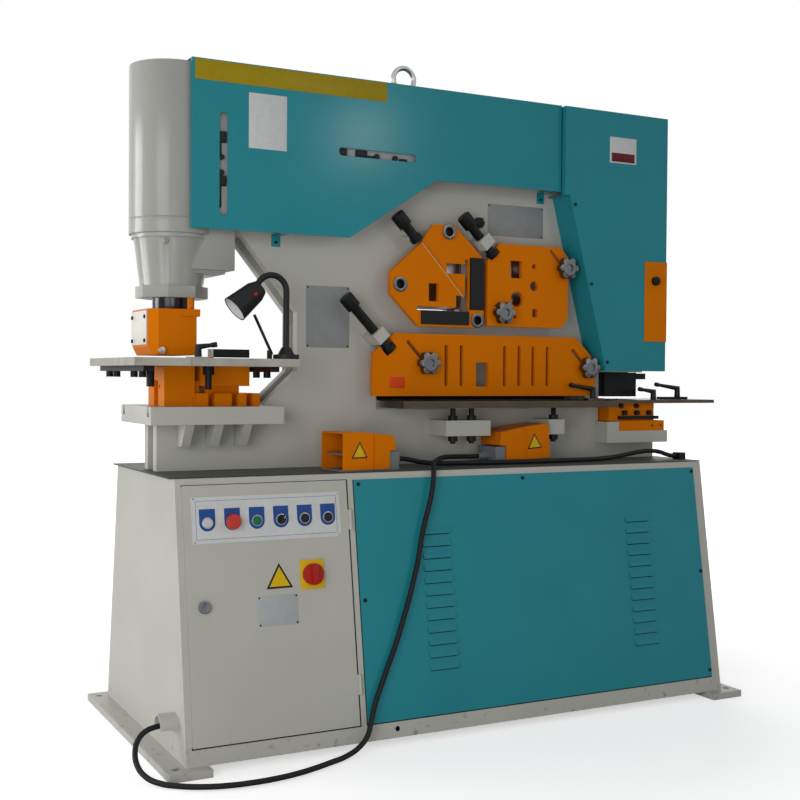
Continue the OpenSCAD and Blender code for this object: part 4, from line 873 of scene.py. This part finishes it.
class StrokeSwitches(bpy.types.Operator):
    """Plated rails with black limit switches and rollers, seen through the two slots of the top cover"""

    bl_idname = "ironworker.stroke_switches"
    bl_label = "Stroke switches"

    def execute(self, context):
        rail_face = COVER_FACE + 0.016
        root = rail_face + 0.001
        for name, slot in COVER_SLOTS.items():
            span = slot["span"]
            turn = Matrix.Rotation(math.radians(slot["turn"]), 4, "Y")
            place = Matrix.Translation(slot["middle"]) @ turn
            reach, post = span / 2 + 0.030, span / 2 + 0.016
            rail = block((-reach, rail_face, -0.030), (reach, rail_face + 0.002, 0.030), 0.0004)
            posts = [
                round_bar((x, COVER_FACE + 0.0018, 0), (x, root, 0), 0.006)
                for x in (-post, post)
            ]
            rail = settle(union(rail, *posts), place)
            piece(rail, f"stroke_rail_{name}", "etched", "machine")
            parts = []
            sections = ((slot["boxes"], 0.009, -0.011, 0.011), (slot["stems"], 0.006, -0.012, -0.003))
            for shares, out, low, high in sections:
                for start, end in shares:
                    lo = (span * (start - 0.5), rail_face - out, low)
                    hi = (span * (end - 0.5), root, high)
                    parts.append(block(lo, hi, 0.001))
            for share in slot["rollers"]:
                x = span * (share - 0.5)
                parts.append(round_bar((x, rail_face - 0.008, -0.004), (x, root, -0.004), 0.009))
            switches = settle(union(*parts), place)
            piece(switches, f"stroke_switches_{name}", "plastic", "machine")
        return {"FINISHED"}


class RearFlap(bpy.types.Operator):
    """Rubber flap on a bolted angle behind the plate shear"""

    bl_idname = "ironworker.rear_flap"
    bl_label = "Rear flap"

    def execute(self, context):
        left, right = -0.215, 0.6905
        foot, top = 1.016, 1.090
        inner = -FRAME_FACE
        outer = inner + 0.0225
        wall = 0.003
        shelf = block((left, inner - 0.0002, top - wall), (right, outer + wall, top), 0.0006)
        leg = block((left, outer, top - 0.022), (right, outer + wall, top), 0.0006)
        piece(union(shelf, leg), "flap_angle", "cream", "machine")
        flap = block((left + 0.002, outer - wall, foot), (right - 0.002, outer + 0.0002, top - 0.004), 0.0008)
        piece(flap, "rear_flap", "rubber", "machine")
        count, height = 6, top - 0.012
        head = round_bar((0, outer + 0.0025, height), (0, outer + 0.0075, height), 0.0065, 0.006, 6, 0.0006)
        turns = [
            Matrix.Translation((left + (right - left) * (i + 0.5) / count, 0, 0))
            for i in range(count)
        ]
        repeat(head, "flap_bolt", turns, "black", ["machine"] * count)
        return {"FINISHED"}


class LampReflector(bpy.types.Operator):
    """White lining and glass of the work lamp"""

    bl_idname = "ironworker.lamp_reflector"
    bl_label = "Lamp reflector"

    def execute(self, context):
        head = Matrix.Translation((-0.690, -0.225, 1.370)) @ Matrix.Rotation(math.radians(230), 4, "Y")
        liner = round_bar((0, 0, 0.0341), (0, 0, 0.0905), 0.0238, 0.0388, 48)
        cut(liner, round_bar((0, 0, 0.0350), (0, 0, 0.0951), 0.0228, 0.0390, 48))
        piece(settle(liner, head), "lamp_liner", "white", "machine", 50)
        bulb = round_bar((0, 0, 0.0345), (0, 0, 0.066), 0.010, 0.015, 32, 0.006)
        piece(settle(bulb, head), "lamp_bulb", "lens", "machine", 60)
        return {"FINISHED"}


class StarKnobs(bpy.types.Operator):
    """Four cast star knobs of the shear guards"""

    bl_idname = "ironworker.star_knobs"
    bl_label = "Star knobs"

    def execute(self, context):
        knob = self.knob()
        places = {
            "knob_plate_left": (-0.054, GUARD_FACE, 1.158),
            "knob_plate_right": (0.601, GUARD_FACE, 1.149),
            "knob_section_left": (0.239, GUARD_FACE, 1.334),
            "knob_section_right": (0.501, GUARD_FACE, 1.498),
        }
        forward = Matrix.Rotation(math.radians(90), 4, "X")
        for node, place in places.items():
            copy = settle(own_copy(knob, node + "_cast"), Matrix.Translation(place) @ forward)
            piece(copy, node + "_cast", "cast", node, 40)
            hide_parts(node)
        bpy.data.objects.remove(knob)
        return {"FINISHED"}

    def knob(self):
        r, lobe, count = 0.041, 0.0145, 6
        core = round_bar((0, 0, 0.009), (0, 0, 0.036), r - 0.008, r - 0.013)
        lobes = []
        for i in range(count):
            a = 2 * math.pi * i / count
            at = Vector((math.cos(a), math.sin(a), 0)) * (r - lobe)
            low, high = at + Vector((0, 0, 0.011)), at + Vector((0, 0, 0.034))
            lobes.append(round_bar(low, high, lobe, lobe - 0.002, 24))
        hub = round_bar((0, 0, 0), (0, 0, 0.014), 0.017)
        knob = union(core, hub, *lobes)
        modify(knob, "REMESH", mode="VOXEL", voxel_size=0.0016)
        modify(knob, "SMOOTH", factor=0.5, iterations=6)
        cut(knob, round_bar((0, 0, 0.031), (0, 0, 0.05), 0.013, 0.0145))
        return union(knob, round_bar((0, 0, -0.066), (0, 0, 0.004), 0.006, sides=24))


class ClampLevers(bpy.types.Operator):
    """Four indexed clamp levers with a tapered arm"""

    bl_idname = "ironworker.clamp_levers"
    bl_label = "Clamp levers"

    def execute(self, context):
        # Foot of the lever, height of its hub, turn in degrees and reach of its arm
        levers = {
            "lever_punch": ((-0.855, -0.172, 1.168), 0.040, 170, 0.050),
            "lever_shear": ((0.621, -0.144, 1.041), 0.042, 4, 0.100),
            "lever_notch_inner": ((0.923, -0.110, 1.034), 0.040, 0, 0.062),
            "lever_notch_outer": ((1.064, -0.078, 1.044), 0.042, 0, 0.100),
        }
        from_upright = math.radians(82)
        ahead = Vector((-math.sin(from_upright), 0, math.cos(from_upright)))
        for node, (place, height, turn, reach) in levers.items():
            start = Vector((0, 0, height - 0.010))
            hub = round_bar((0, 0, 0), (0, 0, height - 0.002), 0.0112, 0.0095)
            arm = round_bar(start, start + ahead * (reach - 0.004), 0.0088, 0.0058, 24)
            grip_ends = [start + ahead * (reach - 0.010), start + ahead * (reach + 0.007)]
            lever = union(hub, arm, round_bar(*grip_ends, 0.0078, 0.0082, 24))
            modify(lever, "REMESH", mode="VOXEL", voxel_size=0.0011)
            modify(lever, "SMOOTH", factor=0.5, iterations=5)
            settle(lever, Matrix.Translation(place) @ Matrix.Rotation(math.radians(turn), 4, "Z"))
            piece(lever, node + "_moulded", "plastic", node, 45)
            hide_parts(node)
        return {"FINISHED"}


# Routes of the cords in millimetres: to the cable hood at the left end, and to the inlet at the right end
FOOT_ROUTE = [
    (148.84, -134.5, 844.4), (129.18, -134.5, 843.03), (96, -136, 844), (62, -143, 845), (32, -156, 846),
    (0, -175, 847), (-38, -204, 846), (-72, -240, 842), (-102, -276, 839), (-122, -310, 834),
    (-134, -332, 814), (-142, -343, 784), (-150, -349, 752), (-160, -353, 716), (-176, -358, 670),
    (-195, -366, 610), (-212, -376, 545), (-232, -385, 485), (-254, -394, 425), (-278, -403, 366),
    (-304, -412, 305), (-334, -421, 245), (-364, -431, 185), (-390, -441, 132), (-408, -453, 86),
    (-426, -466, 50), (-458, -480, 26), (-508, -500, 12), (-572, -526, 9), (-632, -552, 9), (-700, -574, 9),
    (-770, -586, 9), (-840, -588, 9), (-905, -580, 9), (-965, -560, 9), (-1018, -528, 9), (-1060, -486, 10),
    (-1086, -440, 18), (-1098, -400, 38), (-1096, -368, 66), (-1082, -346, 92), (-1058, -334, 110),
    (-1028, -330, 118), (-1000, -330, 120), (-960, -330, 120),
]
REAR_ROUTE = [
    (-190.85, -197, 847), (-171.35, -194.25, 847), (-136, -189, 841), (-100, -186, 834), (-50, -185, 829),
    (20, -190, 828), (80, -198, 828), (140, -210, 828), (200, -218, 828), (266, -222, 828), (340, -224, 828),
    (420, -222, 828), (500, -216, 828), (570, -206, 828), (640, -194, 829), (700, -184, 833),
    (755, -180, 840), (805, -182, 847), (846, -190, 850), (882, -198, 846), (908, -205, 837),
    (930, -208, 832), (949.7, -208, 832),
]


class FootCords(bpy.types.Operator):
    """Round rubber cords of the two foot switches"""

    bl_idname = "ironworker.foot_cords"
    bl_label = "Foot cords"

    def execute(self, context):
        for node, route in (("foot_cord", FOOT_ROUTE), ("rear_cord", REAR_ROUTE)):
            deselect()
            bpy.ops.curve.primitive_bezier_curve_add()
            obj = bpy.context.object
            obj.name = obj.data.name = node + "_rubber"
            spline = obj.data.splines[0]
            spline.bezier_points.add(len(route) - len(spline.bezier_points))
            for point, place in zip(spline.bezier_points, route):
                point.co = [v * MM for v in place]
                point.handle_left_type = point.handle_right_type = "AUTO"
            obj.data.resolution_u = 6
            obj.data.bevel_depth = sizes().cord / 2
            obj.data.bevel_resolution = 5
            obj.data.use_fill_caps = True
            obj.data.materials.append(finish_of("rubber"))
            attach(obj, "machine")
            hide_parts(node)
        return {"FINISHED"}


class Stage(bpy.types.Operator):
    """Pale floor, soft studio light and the camera"""

    bl_idname = "ironworker.stage"
    bl_label = "Stage"

    def execute(self, context):
        self.floor()
        self.lamps(context)
        self.world(context)
        self.camera(context)
        context.scene.view_settings.view_transform = "Standard"
        return {"FINISHED"}

    def floor(self):
        deselect()
        bpy.ops.mesh.primitive_plane_add(size=60, location=(0, 0, -0.0005))
        floor = bpy.context.object
        floor.name = "floor"
        # Matt painted board: keeps the soft shadow near the machine and fades to white away from it
        material, tree, shader, where = new_material("pale studio floor")
        shader.inputs["Base Color"].default_value = (0.8, 0.8, 0.8, 1)
        shader.inputs["Roughness"].default_value = 0.9
        seen = add(tree, "ShaderNodeLightPath")
        far = add(tree, "ShaderNodeVectorMath", {0: where}, operation="LENGTH")
        fade = add(
            tree,
            "ShaderNodeMapRange",
            {"Value": far.outputs["Value"], "From Min": 1.1, "From Max": 3.6, "To Min": 0.55, "To Max": 1.0},
        )
        lift = add(
            tree,
            "ShaderNodeMath",
            {0: seen.outputs["Is Camera Ray"], 1: fade.outputs["Result"]},
            operation="MULTIPLY",
        )
        shader.inputs["Emission Color"].default_value = (1, 1, 1, 1)
        tree.links.new(lift.outputs[0], shader.inputs["Emission Strength"])
        floor.data.materials.append(material)

    def lamps(self, context):
        # Place, target, side in metres and power in watts
        lamps = {
            "key": ((-5.6, 2.3, 1.7), (-0.6, 0, 0.9), 2.6, 150),
            "front": ((-3.7, -3.3, 1.6), (-0.3, 0, 1.0), 2.4, 60),
            "low": ((-1.7, -4.1, 0.5), (0.1, 0, 0.9), 1.2, 12),
            "rear": ((2.5, 4.5, 3.6), (0, 0, 1.0), 4.0, 90),
            "sheen": ((1.5, -3.9, 2.7), (-0.3, -0.1, 1.6), 0.3, 6),
        }
        for name, (place, target, side, power) in lamps.items():
            light = bpy.data.lights.new(name, "AREA")
            light.size = side
            light.energy = power
            lamp = bpy.data.objects.new(name, light)
            context.scene.collection.objects.link(lamp)
            lamp.location = place
            lamp.rotation_euler = (Vector(target) - Vector(place)).to_track_quat("-Z", "Y").to_euler()

    def world(self, context):
        world = bpy.data.worlds.new("studio")
        context.scene.world = world
        world.use_nodes = True
        tree = world.node_tree
        seen = add(tree, "ShaderNodeLightPath")
        soft = tree.nodes["Background"]
        soft.inputs["Color"].default_value = (1, 1, 1, 1)
        soft.inputs["Strength"].default_value = 0.25
        white = add(tree, "ShaderNodeBackground", {"Color": (1, 1, 1, 1), "Strength": 1.0})
        clear = add(
            tree,
            "ShaderNodeMath",
            {0: seen.outputs["Is Camera Ray"], 1: seen.outputs["Is Transmission Ray"]},
            operation="MAXIMUM",
        )
        direct = add(
            tree,
            "ShaderNodeMath",
            {0: clear.outputs[0], 1: seen.outputs["Is Glossy Ray"]},
            operation="MAXIMUM",
        )
        shaders = {0: direct.outputs[0], 1: soft.outputs[0], 2: white.outputs[0]}
        mix = add(tree, "ShaderNodeMixShader", shaders)
        tree.links.new(mix.outputs[0], tree.nodes["World Output"].inputs["Surface"])

    def camera(self, context):
        yaw, pitch, roll = math.radians(27.62), math.radians(-1.18), math.radians(0.44)
        ahead = Vector((math.sin(yaw) * math.cos(pitch), math.cos(yaw) * math.cos(pitch), math.sin(pitch)))
        right = Vector((math.cos(yaw), -math.sin(yaw), 0))
        up = right.cross(ahead)
        side = right * math.cos(roll) + up * math.sin(roll)
        top = up * math.cos(roll) - right * math.sin(roll)
        data = bpy.data.cameras.new("camera")
        data.sensor_width = 36
        data.lens = 54.43
        camera = bpy.data.objects.new("camera", data)
        context.scene.collection.objects.link(camera)
        turn = Matrix((side, top, -ahead)).transposed().to_4x4()
        camera.matrix_world = Matrix.Translation((-1.9971, -3.6591, 1.1181)) @ turn
        context.scene.camera = camera


OPERATORS = [
    PaintSolids, SmoothSolids, BarePlates, Seals, LouvreShadowLines, Rivets, Triangles, Controls, PunchTrim,
    Bushings, StrokeSwitches, RearFlap, LampReflector, StarKnobs, ClampLevers, FootCords, Stage,
]


class IronworkerPanel(bpy.types.Panel):
    """Lists the steps, the colours and the sizes"""

    bl_idname = "VIEW3D_PT_ironworker"
    bl_label = "Ironworker"
    bl_space_type = "VIEW_3D"
    bl_region_type = "UI"
    bl_category = "Ironworker"

    def draw(self, context):
        for group, kind in ((colours(), IronworkerColours), (sizes(), IronworkerSizes)):
            for name in kind.__annotations__:
                self.layout.prop(group, name)
        for operator in OPERATORS:
            self.layout.operator(operator.bl_idname)


CLASSES = [IronworkerColours, IronworkerSizes, *OPERATORS, IronworkerPanel]


def register():
    for c in CLASSES:
        bpy.utils.register_class(c)
    bpy.types.Scene.ironworker_colours = bpy.props.PointerProperty(type=IronworkerColours)
    bpy.types.Scene.ironworker_sizes = bpy.props.PointerProperty(type=IronworkerSizes)


def unregister():
    del bpy.types.Scene.ironworker_sizes
    del bpy.types.Scene.ironworker_colours
    for c in reversed(CLASSES):
        bpy.utils.unregister_class(c)


def main():
    register()
    for operator in OPERATORS:
        group, name = operator.bl_idname.split(".")
        getattr(getattr(bpy.ops, group), name)()


if __name__ == "__main__":
    main()
